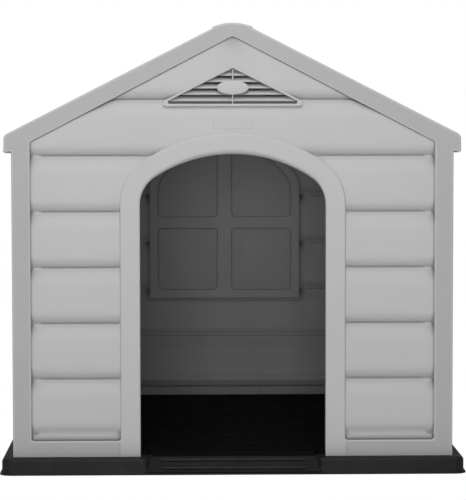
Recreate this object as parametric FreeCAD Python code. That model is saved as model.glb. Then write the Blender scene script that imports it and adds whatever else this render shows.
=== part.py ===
import FreeCAD, Part
import math
import os

# Moulded plastic dog house: a black floor tray, four plank-pattern walls, two roof panels
# and a ridge cap, with a louvred vent in each gable.
# Millimetres. X to the right seen from the front, Y to the back, Z up, ground at z = 0.

# ---- Cabin -------------------------------------------------------------------------------
wall_width = 800.0  # outside of the left wall to outside of the right wall
wall_depth = 830.0  # front face to back face
roof_pitch = 27.0  # degrees from level
ridge_rise = 795.0  # ledge to where the two slopes would meet
skin = 3.0  # thickness of every moulded shell
frame_depth = 20.0  # how far the wall frames turn inwards
fit_gap = 0.3  # clearance between neighbouring mouldings

# ---- Wall frames and planks ----------------------------------------------------------------
post_width = 33.5
bottom_rail = 28.7
side_top_rail = 26.0
fascia_width = 32.3  # gable band, square to the slope
plank_pitch = 101.4
first_groove = 39.6  # lowest groove above the ledge
plank_recess = 3.0  # plank faces behind the frame face
groove_depth = 10.0  # foot of a plank at its groove, behind the plank's face
head_depth = 5.0  # head of the plank below, tucked under that foot
roll_under = 21.0  # height of the rounded foot of a plank
roll_over = 34.0  # height of the rounded head of a plank
panel_corner_radius = 5.0
ridge_corner_radius = 12.0

# ---- Eaves and ridge -----------------------------------------------------------------------
eave_overhang = 13.6  # lip beyond the wall face
eave_lip_height = 32.3
eave_lip_slant = 2.0  # the foot of the lip rises this much towards the wall
eave_corner_radius = 12.0
side_wall_drop = 13.0  # top of a side wall below the roof skin
cap_width = 72.0
cap_step = 2.5  # edge of the cap above the slope beside it
cap_crown = 7.3  # rise of the cap from its edges to its middle
cap_seat_drop = 8.0  # seat of the cap below the slope beside it
ridge_flange_height = 22.0
ridge_blade = 3.0  # centre rib of the cap

# ---- Roof panels ---------------------------------------------------------------------------
roof_board_count = 4
roof_border = 45.0  # flat border above and below the boards
roof_groove_depth = 5.0
roof_roll_under = 12.0
roof_roll_over = 20.0
roof_rib_depth = 14.0  # ribs and end plates below the top face, square to the slope
roof_rib_count = 5
roof_rib = 2.5
shelf_width = 18.0  # shelf behind each gable that carries the roof ends
eave_rib = 3.0

# ---- Doorway and blind window ----------------------------------------------------------------
door_width = 336.4
door_rise = 90.4  # spring line to the top of the doorway
door_head_gap = 60.6  # top of the doorway's trim to the foot of the vent above it
door_shoulder_radius = 60.0
door_trim = 34.0
window_width = 284.0
window_rise = 95.4
window_head_gap = 71.6
window_foot = 240.4  # above the ledge
window_shoulder_radius = 50.0
window_trim = 23.0
mullion_width = 35.0
transom_height = 29.0
transom_foot = 369.7  # above the ledge
pane_recess = 6.5
pane_radius = 6.0

# ---- Gable vents -----------------------------------------------------------------------------
vent_width = 244.0
vent_drop = 89.84  # apex of the opening below the point where the roof slopes meet
vent_rim = 4.0  # rim along the slopes of the opening
vent_sill = 6.6  # rim along its foot
vent_rim_proud = 1.5  # rim in front of the frame face
vent_rim_radius = 5.0
vent_corner_radius = 2.0
vent_sleeve_wall = 2.5  # wall of the sleeve that passes through the gable
vent_sleeve_reach = 4.0  # sleeve beyond the back of the planks
slat_pitch = 11.4
slat_lift = 9.0  # middle of the lowest slat above the foot of the opening
slat_thickness = 2.0
slat_reach = 9.0  # depth of a slat from front to back
slat_fall = 3.6  # the front edge of a slat lies this much lower
vent_bar = 2.4
badge_width = 57.6
badge_height = 25.0
badge_thickness = 3.0
badge_lift = 29.0  # centre of the blank oval above the foot of the opening
barb_length = 12.0
barb_height = 3.0
barb_thickness = 3.0
barb_place = 0.6  # share of the way up each slope of the vent

# ---- Floor tray ------------------------------------------------------------------------------
tray_margin = 24.0  # foot flange beyond the walls
tray_height = 30.0  # ground to ledge
tray_flange = 3.0
tray_flange_proud = 4.0
tray_corner_radius = 22.0
ledge_radius = 7.0
floor_rise = 11.0  # raised floor above the ledge
floor_corner_radius = 12.0
floor_edge_radius = 4.0
tray_cells = 11  # cells between the ribs under the tray, each way
tray_rib = 2.5
threshold_width = 320.0
threshold_lead = 4.0  # top of the sill in front of the wall face
threshold_drop = 6.0  # top of the ramp below the floor
threshold_edge_radius = 5.0
tread_length = 264.0
tread_width = 5.0
tread_height = 2.5
tread_places = (0.30, 0.73)  # share of the way down the ramp

# ---- Screws ----------------------------------------------------------------------------------
screw_diameter = 4.0
screw_head_diameter = 9.0
screw_head_height = 3.0
screw_clearance = 0.3  # all round the shank
screw_tip_gap = 2.0  # tip of a screw to the end of its bore
boss_diameter = 10.0
boss_inset = 10.0  # centre of a boss behind the face of its wall
corner_screw_margin = 60.0
corner_screw_count = 3
roof_screw_margin = 110.0
roof_screw_count = 3
ridge_screw_margin = 90.0
ridge_screw_count = 4
ridge_boss_length = 10.0
front_tray_cells = (1, 2, 8, 9)
back_tray_cells = (1, 4, 6, 9)
side_tray_cells = (1, 4, 6, 9)

# ---- Limits on rounding ------------------------------------------------------------------------
corner_share = 0.45  # most of a straight edge that the arc at one of its ends may take
shoulder_share = 0.9  # most of an arch's rise or half width that its shoulders may take
tolerance = 0.001

# ---- Worked out from the sizes above ---------------------------------------------------------
slope = math.radians(roof_pitch)
ledge_z = tray_height
floor_z = ledge_z + floor_rise
ridge_z = ledge_z + ridge_rise
half_width = wall_width / 2.0
half_depth = wall_depth / 2.0
vent_foot = ridge_rise - vent_drop - vent_width / 2.0 * math.tan(slope)
door_height = vent_foot - door_head_gap - door_trim
door_spring = door_height - door_rise
window_height = vent_foot - window_head_gap - window_trim
window_spring = window_height - window_rise
eave_x = half_width + eave_overhang
cap_half = cap_width / 2.0
panel_back = plank_recess + groove_depth + skin
side_length = wall_depth - 2.0 * (frame_depth + fit_gap)
roof_length = side_length
inner_x = half_width - frame_depth
inner_y = half_depth - frame_depth
screw_hole = screw_diameter + 2.0 * screw_clearance
ORIGIN = FreeCAD.Vector(0, 0, 0)
RIGHT = FreeCAD.Vector(1, 0, 0)
BACK = FreeCAD.Vector(0, 1, 0)
UP = FreeCAD.Vector(0, 0, 1)


def roof_top(x):
    """Height of the roof's top line at a distance from the middle."""
    return ridge_z - abs(x) * math.tan(slope)


def below_roof(x, depth):
    """Height of the line that lies a depth below the roof's top line, square to it."""
    return roof_top(x) - depth / math.cos(slope)


cap_edge_z = roof_top(cap_half) + cap_step
cap_top_z = cap_edge_z + cap_crown
cap_radius = (cap_half ** 2 + cap_crown ** 2) / (2.0 * cap_crown)
cap_seat_z = roof_top(cap_half) - cap_seat_drop
lip_foot_z = roof_top(eave_x) - eave_lip_height
side_top_z = below_roof(half_width, skin) - side_wall_drop


# ---- Outlines ----------------------------------------------------------------------------------
def unit(start, end):
    """Unit vector from one (x, z) point to another, with the distance between them."""
    length = math.hypot(end[0] - start[0], end[1] - start[1])
    return (end[0] - start[0]) / length, (end[1] - start[1]) / length, length


def grown(corners, distance):
    """An anticlockwise outline of (x, z, radius) corners, moved outwards by a distance."""
    result = []
    for index, corner in enumerate(corners):
        before = corners[index - 1]
        after = corners[(index + 1) % len(corners)]
        ax, az, _ = unit(before, corner)
        bx, bz, _ = unit(corner, after)
        turn = ax * bz - az * bx
        shift = distance / (1.0 + ax * bx + az * bz)
        x = corner[0] + shift * (az + bz)
        z = corner[1] - shift * (ax + bx)
        radius = corner[2] + math.copysign(distance, turn) if corner[2] > 0.0 else 0.0
        result.append((x, z, max(radius, 0.0)))
    return result


def outline_wire(corners, place):
    """Closed wire through (x, z, radius) corners; place turns (x, z) into a point."""
    stops = []
    for index, corner in enumerate(corners):
        ax, az, a_length = unit(corner, corners[index - 1])
        bx, bz, b_length = unit(corner, corners[(index + 1) % len(corners)])
        half_angle = math.acos(max(-1.0, min(1.0, ax * bx + az * bz))) / 2.0
        room = corner_share * min(a_length, b_length)
        reach = min(corner[2] / math.tan(half_angle), room)
        if reach <= 0.0:
            stops.append((place(corner[0], corner[1]),))
            continue
        radius = reach * math.tan(half_angle)
        middle = (radius / math.sin(half_angle) - radius) / (2.0 * math.cos(half_angle))
        stops.append((
            place(corner[0] + ax * reach, corner[1] + az * reach),
            place(corner[0] + (ax + bx) * middle, corner[1] + (az + bz) * middle),
            place(corner[0] + bx * reach, corner[1] + bz * reach),
        ))
    edges = []
    for index, stop in enumerate(stops):
        if len(stop) == 3:
            edges.append(Part.Arc(*stop).toShape())
        following = stops[(index + 1) % len(stops)]
        edges.append(Part.LineSegment(stop[-1], following[0]).toShape())
    return Part.Wire(edges)


def upright(y):
    """Placer for an outline that stands across the house at y."""
    return lambda x, z: FreeCAD.Vector(x, y, z)


def level(z):
    """Placer for an outline that lies flat at z."""
    return lambda x, y: FreeCAD.Vector(x, y, z)


def cross(x):
    """Placer for an outline in (y, z) that stands along the house at x."""
    return lambda y, z: FreeCAD.Vector(x, y, z)


def slab(corners, start, depth):
    """An (x, z) outline made solid from y = start over a depth."""
    return Part.Face(outline_wire(corners, upright(start))).extrude(FreeCAD.Vector(0, depth, 0))


def plate(corners, z, height):
    """An (x, y) outline made solid from z upwards."""
    return Part.Face(outline_wire(corners, level(z))).extrude(FreeCAD.Vector(0, 0, height))


def bar(corners, x, length):
    """A (y, z) outline made solid from x over a length."""
    return Part.Face(outline_wire(corners, cross(x))).extrude(FreeCAD.Vector(length, 0, 0))


def rectangle(x0, z0, x1, z1, radius=0.0):
    return [(x0, z0, radius), (x1, z0, radius), (x1, z1, radius), (x0, z1, radius)]


def block(x0, x1, y0, y1, z0, z1):
    """A box from its limits."""
    return Part.makeBox(x1 - x0, y1 - y0, z1 - z0, FreeCAD.Vector(x0, y0, z0))


def joined(shapes):
    """One solid from shapes that touch."""
    result = shapes[0].fuse(shapes[1:]) if len(shapes) > 1 else shapes[0]
    return result.removeSplitter()


def evenly(count, limit, margin):
    """Places spread evenly between -limit + margin and limit - margin."""
    span = 2.0 * (limit - margin)
    return [margin - limit + span * index / (count - 1) for index in range(count)]


# ---- Arched openings ---------------------------------------------------------------------------
def arch(width, height, spring, shoulder, foot, start, depth, grow=0.0):
    """Three-centred arch made solid; the sizes are heights above the ledge."""
    half = width / 2.0 + grow
    rise = height - spring + grow
    radius = min(shoulder + grow, shoulder_share * rise, shoulder_share * half)
    crown = (half ** 2 - 2.0 * half * radius + rise ** 2) / (2.0 * (rise - radius))
    spring_z = ledge_z + spring
    centre_z = spring_z + rise - crown
    lean = math.atan2(spring_z - centre_z, half - radius)
    join = (crown * math.cos(lean), centre_z + crown * math.sin(lean))
    mid_x = half - radius + radius * math.cos(lean / 2.0)
    mid_z = spring_z + radius * math.sin(lean / 2.0)
    foot_z = ledge_z + foot - grow
    point = upright(start)
    edges = [
        Part.LineSegment(point(-half, foot_z), point(half, foot_z)).toShape(),
        Part.LineSegment(point(half, foot_z), point(half, spring_z)).toShape(),
        Part.Arc(point(half, spring_z), point(mid_x, mid_z), point(*join)).toShape(),
        Part.Arc(point(*join), point(0.0, centre_z + crown), point(-join[0], join[1])).toShape(),
        Part.Arc(point(-join[0], join[1]), point(-mid_x, mid_z), point(-half, spring_z)).toShape(),
        Part.LineSegment(point(-half, spring_z), point(-half, foot_z)).toShape(),
    ]
    return Part.Face(Part.Wire(edges)).extrude(FreeCAD.Vector(0, depth, 0))


def doorway(start, depth, grow=0.0):
    return arch(door_width, door_height, door_spring, door_shoulder_radius,
                0.0, start, depth, grow)


def window(start, depth, grow=0.0):
    return arch(window_width, window_height, window_spring, window_shoulder_radius,
                window_foot, start, depth, grow)


# ---- Plank pattern -----------------------------------------------------------------------------
def rolled_edge(place, groove, flat, depth, deeper):
    """Arc between the bottom of a groove and the flat of a plank, tangent to the flat."""
    run = abs(flat - groove)
    radius = (run ** 2 + depth ** 2) / (2.0 * depth)
    half_angle = math.asin(min(1.0, run / radius)) / 2.0
    middle = flat + (groove - flat) / run * radius * math.sin(half_angle)
    middle_depth = deeper + radius * (1.0 - math.cos(half_angle))
    arc = Part.Arc(place(groove, deeper + depth), place(middle, middle_depth), place(flat, deeper))
    return arc.toShape()


def plank_line(place, start, end, grooves, rolls, deeper, drop=0.0):
    """Edges up a row of planks; place turns (height, depth) into a point.

    rolls holds the depth and height of a plank's foot, then the depth and height of its head.
    drop lowers the groove line itself, for the inside of a shell.
    """
    foot, under, head, over = rolls
    edges = []

    def line(low, low_depth, high, high_depth):
        edges.append(Part.LineSegment(place(low, low_depth), place(high, high_depth)).toShape())

    flat_from = start
    for groove in grooves:
        crease = groove - drop
        line(flat_from, deeper, groove - over, deeper)
        edges.append(rolled_edge(place, crease, groove - over, head, deeper))
        if foot != head:
            line(crease, deeper + head, crease, deeper + foot)
        edges.append(rolled_edge(place, crease, groove + under, foot, deeper))
        flat_from = groove + under
    line(flat_from, deeper, end, deeper)
    return edges


def plank_section(place, start, end, grooves, rolls, deeper):
    """Section of a plank-pattern shell, one skin thick."""
    drop = skin if rolls[0] != rolls[2] else 0.0
    edges = plank_line(place, start, end, grooves, rolls, deeper)
    edges += plank_line(place, start, end, grooves, rolls, deeper + skin, drop)
    for finish in (start, end):
        edges.append(Part.LineSegment(place(finish, deeper), place(finish, deeper + skin)).toShape())
    return Part.Face(Part.Wire(Part.__sortEdges__(edges)))


def plank_shell(face_y, half_length, top):
    """Plank-pattern shell behind the frame face at face_y, up to a height or above."""
    first = ledge_z + first_groove
    count = max(1, math.ceil((top - first) / plank_pitch))
    grooves = [first + plank_pitch * index for index in range(count)]
    section = plank_section(lambda z, depth: FreeCAD.Vector(-half_length, face_y + depth, z),
                            first - plank_pitch + roll_under, first + plank_pitch * count - roll_over,
                            grooves, (groove_depth, roll_under, head_depth, roll_over), plank_recess)
    return section.extrude(FreeCAD.Vector(2.0 * half_length, 0, 0))


# ---- Screws and bosses -------------------------------------------------------------------------
def screw(seat, direction, length):
    """Pan-head screw whose head sits on seat and whose shank runs along direction."""
    head = Part.makeCylinder(screw_head_diameter / 2.0, screw_head_height, seat, direction * -1.0)
    shank = Part.makeCylinder(screw_diameter / 2.0, length, seat, direction)
    return head.fuse(shank).removeSplitter()


def bore(start, direction, length):
    """Clearance hole for a screw."""
    return Part.makeCylinder(screw_hole / 2.0, length, start, direction)


def boss(start, direction, length):
    return Part.makeCylinder(boss_diameter / 2.0, length, start, direction)


def corner_heights():
    """Heights of the screws that join a side wall to a gable wall."""
    low = ledge_z + corner_screw_margin
    high = side_top_z - corner_screw_margin
    step = (high - low) / (corner_screw_count - 1)
    return [low + step * index for index in range(corner_screw_count)]


def cell_middle(index, half_length):
    """Middle of a rib cell under the tray, along a side with this half length."""
    inside = half_length + tray_margin - tray_flange_proud - skin
    return -inside + (index + 0.5) * 2.0 * inside / tray_cells


def tray_bosses(face_y, places):
    """Bosses and bores in the foot of a wall for the screws that come up through the tray."""
    height = bottom_rail - skin / 2.0
    seats = [FreeCAD.Vector(x, face_y + boss_inset, ledge_z) for x in places]
    bosses = [boss(seat, UP, height) for seat in seats]
    bores = [bore(seat, UP, bottom_rail - skin) for seat in seats]
    return bosses, bores


# ---- Gable walls -------------------------------------------------------------------------------
def gable_outline():
    """Outer edge of a gable wall with its posts and eave lips, without the ridge cap."""
    right = [
        (half_width, ledge_z, 0.0),
        (half_width, lip_foot_z + eave_lip_slant, 0.0),
        (eave_x, lip_foot_z, 0.0),
        (eave_x, roof_top(eave_x), eave_corner_radius),
        (cap_half, roof_top(cap_half), 0.0),
    ]
    return right + [(-x, z, radius) for x, z, radius in reversed(right)]


def panel_outline():
    """Edge of the plank panel inside the posts, the foot rail and the gable band."""
    side = half_width - post_width
    foot = ledge_z + bottom_rail
    shoulder = below_roof(side, fascia_width)
    return [(-side, foot, panel_corner_radius), (side, foot, panel_corner_radius),
            (side, shoulder, panel_corner_radius), (0.0, below_roof(0.0, fascia_width), ridge_corner_radius),
            (-side, shoulder, panel_corner_radius)]


def cap_shape(start, depth, shrink=0.0, foot=None):
    """Rounded ridge section made solid along the house."""
    half = cap_half - shrink
    low = cap_seat_z if foot is None else foot
    upright_part = block(-half, half, start, start + depth, low, cap_top_z)
    centre = FreeCAD.Vector(0.0, start, cap_top_z - cap_radius)
    return upright_part.common(Part.makeCylinder(cap_radius - shrink, depth, centre, BACK))


def gable_body(start, depth, grow=0.0):
    """The whole gable wall as one solid, its outer edge moved by grow."""
    return slab(grown(gable_outline(), grow), start, depth).fuse(cap_shape(start, depth, -grow))


def panel_cut(surround, start, depth, grow=0.0):
    """The plank panel without the raised surround on it, as one solid."""
    panel = slab(grown(panel_outline(), grow), start, depth)
    return panel.cut(surround(start, depth, -grow))


def gable_frame(surround, face_y):
    """Hollow frame of a gable wall with its plank panel; surround makes the raised band on it."""
    frame = gable_body(face_y, frame_depth).cut(panel_cut(surround, face_y, frame_depth))
    hollow = gable_body(face_y + skin, frame_depth, -skin)
    hollow = hollow.cut(panel_cut(surround, face_y + skin, frame_depth, skin))
    planks = plank_shell(face_y, half_width, ridge_z)
    planks = planks.common(panel_cut(surround, face_y, frame_depth, skin))
    return frame, hollow, planks


def roof_shelf(face_y, side):
    """Ledge behind a gable that carries the end of one roof panel."""
    near = cap_half
    far = inner_x - skin
    top = roof_rib_depth + fit_gap
    corners = [(near, below_roof(near, top + skin), 0.0), (far, below_roof(far, top + skin), 0.0),
               (far, below_roof(far, top), 0.0), (near, below_roof(near, top), 0.0)]
    shelf = slab(corners, face_y + skin / 2.0, frame_depth + fit_gap + shelf_width)
    return shelf if side > 0 else shelf.mirror(ORIGIN, RIGHT)


def corner_bosses(face_y):
    """Bosses and bores in the posts for the screws that hold the side walls."""
    bosses = []
    bores = []
    for side in (-1.0, 1.0):
        for height in corner_heights():
            x = side * (half_width - boss_inset)
            bosses.append(boss(FreeCAD.Vector(x, face_y + skin / 2.0, height), BACK,
                               frame_depth - skin / 2.0))
            bores.append(bore(FreeCAD.Vector(x, face_y + skin, height), BACK, frame_depth))
    return bosses, bores


def gable_wall(shell, planks, face_y, cells):
    """Put a gable wall together from its hollow frame, its planks and its fastening points."""
    corner, corner_bores = corner_bosses(face_y)
    feet, feet_bores = tray_bosses(face_y, [cell_middle(index, half_width) for index in cells])
    shelves = [roof_shelf(face_y, side) for side in (-1, 1)]
    wall = joined([shell, planks] + shelves + corner + feet)
    vent_hole = slab(grown(vent_outline(), vent_sleeve_wall + fit_gap), face_y, frame_depth)
    return wall.cut([vent_hole] + corner_bores + feet_bores)


def front_wall():
    face_y = -half_depth

    def surround(start, depth, grow):
        return doorway(start, depth, door_trim + grow)

    frame, hollow, planks = gable_frame(surround, face_y)
    frame = frame.cut(doorway(face_y, frame_depth))
    hollow = hollow.cut(doorway(face_y, frame_depth * 2.0, skin))
    return gable_wall(frame.cut(hollow), planks, face_y, front_tray_cells)


def panes(start, depth, grow=0.0):
    """The four panes of the blind window as one shape."""
    half = window_width / 2.0
    near = mullion_width / 2.0
    transom_z = ledge_z + transom_foot
    rows = ((ledge_z + window_foot, transom_z),
            (transom_z + transom_height, ledge_z + window_height))
    cells = []
    for low, high in rows:
        for x0, x1 in ((-half, -near), (near, half)):
            corners = grown(rectangle(x0, low, x1, high, pane_radius), grow)
            cells.append(slab(corners, start, depth))
    return cells[0].fuse(cells[1:]).common(window(start, depth, grow))


def back_wall():
    face_y = -half_depth

    def surround(start, depth, grow):
        return window(start, depth, window_trim + grow)

    frame, hollow, planks = gable_frame(surround, face_y)
    behind = window(face_y + panel_back, frame_depth, window_trim)
    frame = frame.cut(hollow).cut(behind).fuse(panes(face_y, pane_recess + skin, skin))
    frame = frame.cut(panes(face_y, pane_recess))
    wall = gable_wall(frame, planks, face_y, back_tray_cells)
    return wall.rotate(ORIGIN, UP, 180.0)


# ---- Side walls --------------------------------------------------------------------------------
def side_outline():
    half = side_length / 2.0
    return rectangle(-half, ledge_z, half, side_top_z)


def side_panel_outline():
    half = side_length / 2.0 - post_width
    return rectangle(-half, ledge_z + bottom_rail, half, side_top_z - side_top_rail, panel_corner_radius)


def side_wall():
    """A side wall made as if it faced the front; it is turned into place afterwards."""
    face_y = -half_width
    half = side_length / 2.0
    frame = slab(side_outline(), face_y, frame_depth)
    frame = frame.cut(slab(side_panel_outline(), face_y, frame_depth))
    hollow = slab(grown(side_outline(), -skin), face_y + skin, frame_depth)
    hollow = hollow.cut(slab(grown(side_panel_outline(), skin), face_y + skin, frame_depth))
    planks = plank_shell(face_y, half, side_top_z)
    planks = planks.common(slab(grown(side_panel_outline(), skin), face_y, frame_depth))
    feet, holes = tray_bosses(face_y, [cell_middle(index, half_depth) for index in side_tray_cells])
    line_y = face_y + boss_inset
    for height in corner_heights():
        holes.append(bore(FreeCAD.Vector(-half, line_y, height), RIGHT, skin))
        holes.append(bore(FreeCAD.Vector(half - skin, line_y, height), RIGHT, skin))
    for x in evenly(roof_screw_count, half, roof_screw_margin):
        holes.append(bore(FreeCAD.Vector(x, line_y, side_top_z - skin), UP, skin))
    return joined([frame.cut(hollow), planks] + feet).cut(holes)


# ---- Roof --------------------------------------------------------------------------------------
def roof_place(y):
    """Placer up the right-hand slope from the eave corner, with depths square to it."""
    def place(along, depth):
        x = eave_x - along * math.cos(slope) - depth * math.sin(slope)
        z = roof_top(eave_x) + along * math.sin(slope) - depth * math.cos(slope)
        return FreeCAD.Vector(x, y, z)
    return place


def roof_run():
    """Length of the slope from the eave corner to where its underside meets the riser."""
    return (eave_x - cap_half - fit_gap) / math.cos(slope) - skin * math.tan(slope)


def roof_grooves():
    field = roof_run() - 2.0 * roof_border
    return [roof_border + field * index / roof_board_count for index in range(roof_board_count + 1)]


def roof_skin(start_y):
    rolls = (roof_groove_depth, roof_roll_under, roof_groove_depth, roof_roll_over)
    section = plank_section(roof_place(start_y), eave_corner_radius, roof_run(),
                            roof_grooves(), rolls, 0.0)
    return section.extrude(FreeCAD.Vector(0, roof_length, 0))


def under_roof(start_y):
    """Everything below the middle of the roof skin, to trim what joins it from below."""
    rolls = (roof_groove_depth, roof_roll_under, roof_groove_depth, roof_roll_over)
    place = roof_place(start_y)
    edges = plank_line(place, eave_corner_radius, roof_run(), roof_grooves(), rolls, skin / 2.0)
    outer = place(eave_corner_radius, skin / 2.0)
    inner = place(roof_run(), skin / 2.0)
    low_z = lip_foot_z - skin
    outer_foot = FreeCAD.Vector(outer.x, start_y, low_z)
    inner_foot = FreeCAD.Vector(inner.x, start_y, low_z)
    for one, other in ((outer, outer_foot), (outer_foot, inner_foot), (inner_foot, inner)):
        edges.append(Part.LineSegment(one, other).toShape())
    face = Part.Face(Part.Wire(Part.__sortEdges__(edges)))
    return face.extrude(FreeCAD.Vector(0, roof_length, 0))


def eave_hook(start_y):
    """Rounded eave corner and the lip that hangs from it."""
    near = eave_x - 2.0 * eave_corner_radius
    outer = [(near, lip_foot_z, 0.0), (eave_x, lip_foot_z, 0.0),
             (eave_x, roof_top(eave_x), eave_corner_radius), (near, roof_top(near), 0.0)]
    inside_x = eave_x - skin
    beyond = near - skin
    low_z = lip_foot_z - skin
    inner = [(beyond, low_z, 0.0), (inside_x, low_z, 0.0),
             (inside_x, below_roof(inside_x, skin), max(eave_corner_radius - skin, 0.0)),
             (beyond, below_roof(beyond, skin), 0.0)]
    return slab(outer, start_y, roof_length).cut(slab(inner, start_y, roof_length))


def ridge_edge(start_y):
    """Riser, cap seat and hanging flange along the ridge."""
    end_y = start_y + roof_length
    riser_x = cap_half + fit_gap
    flange_x = ridge_blade / 2.0 + fit_gap
    riser = slab([(riser_x, cap_seat_z - skin, 0.0), (riser_x + skin, cap_seat_z - skin, 0.0),
                  (riser_x + skin, roof_top(riser_x + skin), 0.0),
                  (riser_x, roof_top(riser_x), 0.0)], start_y, roof_length)
    seat = block(flange_x, riser_x + skin, start_y, end_y, cap_seat_z - skin, cap_seat_z)
    flange = block(flange_x, flange_x + skin, start_y, end_y,
                   cap_seat_z - ridge_flange_height, cap_seat_z)
    return [riser, seat, flange]


def roof_ribs(start_y):
    """End plates and cross ribs below the skin, still to be trimmed under it."""
    near = cap_half + fit_gap
    far = inner_x + eave_rib
    corners = [(near, below_roof(near, roof_rib_depth), 0.0), (far, below_roof(far, roof_rib_depth), 0.0),
               (far, roof_top(far), 0.0), (near, roof_top(near), 0.0)]
    ribs = [slab(corners, start_y, skin), slab(corners, start_y + roof_length - skin, skin)]
    half = roof_length / 2.0
    for y in evenly(roof_rib_count, half, roof_length / (roof_rib_count + 1)):
        ribs.append(slab(corners, y - roof_rib / 2.0, roof_rib))
    return ribs


def eave_ribs(start_y):
    """Two ribs and the screw bosses that stand on a side wall, still to be trimmed."""
    end_y = start_y + roof_length
    parts = []
    for near in (inner_x, half_width - eave_rib):
        parts.append(block(near, near + eave_rib, start_y, end_y, side_top_z, ridge_z))
    for y in evenly(roof_screw_count, roof_length / 2.0, roof_screw_margin):
        foot = FreeCAD.Vector(half_width - boss_inset, y, side_top_z)
        parts.append(boss(foot, UP, ridge_z - side_top_z))
    return parts


def roof_screw_reach():
    """Depth of the bore above a side wall at the line of the roof screws."""
    return below_roof(half_width - boss_inset + boss_diameter / 2.0, skin) - side_top_z


def ridge_screw_z():
    return cap_seat_z - (ridge_flange_height + skin) / 2.0


def right_roof_panel():
    start_y = -roof_length / 2.0
    trimmed = [part.common(under_roof(start_y)) for part in roof_ribs(start_y) + eave_ribs(start_y)]
    panel = joined([roof_skin(start_y), eave_hook(start_y)] + ridge_edge(start_y) + trimmed)
    holes = []
    for y in evenly(roof_screw_count, roof_length / 2.0, roof_screw_margin):
        foot = FreeCAD.Vector(half_width - boss_inset, y, side_top_z)
        holes.append(bore(foot, UP, roof_screw_reach()))
    for y in evenly(ridge_screw_count, roof_length / 2.0, ridge_screw_margin):
        holes.append(bore(FreeCAD.Vector(0.0, y, ridge_screw_z()), RIGHT, ridge_blade + 3.0 * skin))
    return panel.cut(holes)


def ridge_bosses(panel):
    """Add the bosses that the ridge screws bite into, on the right-hand panel only."""
    near = ridge_blade / 2.0 + fit_gap + skin / 2.0
    far = ridge_blade / 2.0 + fit_gap + skin + ridge_boss_length
    bosses = []
    bores = []
    for y in evenly(ridge_screw_count, roof_length / 2.0, ridge_screw_margin):
        start = FreeCAD.Vector(near, y, ridge_screw_z())
        bosses.append(boss(start, RIGHT, far - near))
        bores.append(bore(start, RIGHT, far - near))
    return joined([panel] + bosses).cut(bores)


def ridge_cap():
    start_y = -roof_length / 2.0
    shell = cap_shape(start_y, roof_length)
    shell = shell.cut(cap_shape(start_y, roof_length, skin, cap_seat_z - skin))
    blade = block(-ridge_blade / 2.0, ridge_blade / 2.0, start_y, -start_y,
                  cap_seat_z - ridge_flange_height, cap_top_z - skin / 2.0)
    holes = []
    for y in evenly(ridge_screw_count, roof_length / 2.0, ridge_screw_margin):
        holes.append(bore(FreeCAD.Vector(-ridge_blade, y, ridge_screw_z()), RIGHT, 2.0 * ridge_blade))
    return joined([shell, blade]).cut(holes)


# ---- Gable vents -------------------------------------------------------------------------------
def vent_outline():
    """Triangular opening of a vent, its slopes parallel to the roof."""
    half = vent_width / 2.0
    foot = ledge_z + vent_foot
    return [(-half, foot, vent_corner_radius), (half, foot, vent_corner_radius),
            (0.0, foot + half * math.tan(slope), vent_corner_radius)]


def vent_rim_outline():
    """Outer edge of the rim round the opening."""
    foot = ledge_z + vent_foot - vent_sill
    half = vent_width / 2.0 + vent_rim / math.sin(slope) + vent_sill / math.tan(slope)
    return [(-half, foot, vent_rim_radius), (half, foot, vent_rim_radius),
            (0.0, foot + half * math.tan(slope), vent_rim_radius)]


def vent_slats(face_y):
    """Sloping slats across the opening, cut to its outline."""
    half = vent_width / 2.0
    height = half * math.tan(slope)
    half_slat = (slat_fall + slat_thickness) / 2.0
    count = int((height - slat_lift - half_slat) / slat_pitch) + 1
    slats = []
    for index in range(count):
        low = ledge_z + vent_foot + slat_lift + slat_pitch * index - half_slat
        corners = [(face_y, low, 0.0), (face_y + slat_reach, low + slat_fall, 0.0),
                   (face_y + slat_reach, low + slat_fall + slat_thickness, 0.0),
                   (face_y, low + slat_thickness, 0.0)]
        slats.append(bar(corners, -half, vent_width))
    trim = slab(grown(vent_outline(), vent_sleeve_wall / 2.0), face_y - slat_reach, 3.0 * slat_reach)
    return [slat.common(trim) for slat in slats]


def vent_barb(face_y, side):
    """Snap barb on a slope of the vent, behind the planks."""
    half = vent_width / 2.0
    along_x, along_z = -math.cos(slope), math.sin(slope)
    out_x, out_z = math.sin(slope), math.cos(slope)
    middle_x = half * (1.0 - barb_place) + out_x * vent_sleeve_wall
    middle_z = ledge_z + vent_foot + half * math.tan(slope) * barb_place + out_z * vent_sleeve_wall
    corners = []
    for along, out in ((0.5, -0.5), (-0.5, -0.5), (-0.5, 1.0), (0.5, 1.0)):
        reach = along * barb_length
        rise = out * (barb_height if out > 0.0 else vent_sleeve_wall)
        corners.append((middle_x + along_x * reach + out_x * rise,
                        middle_z + along_z * reach + out_z * rise, 0.0))
    barb = slab(corners, face_y + plank_recess + skin + fit_gap, barb_thickness)
    return barb if side > 0 else barb.mirror(ORIGIN, RIGHT)


def badge(face_y):
    """Blank oval in the middle of the louvres."""
    centre = FreeCAD.Vector(0.0, face_y - vent_rim_proud / 2.0, ledge_z + vent_foot + badge_lift)
    major = centre + FreeCAD.Vector(badge_width / 2.0, 0, 0)
    minor = centre + FreeCAD.Vector(0, 0, badge_height / 2.0)
    edge = Part.Ellipse(major, minor, centre).toShape()
    return Part.Face(Part.Wire([edge])).extrude(FreeCAD.Vector(0, badge_thickness, 0))


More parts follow.
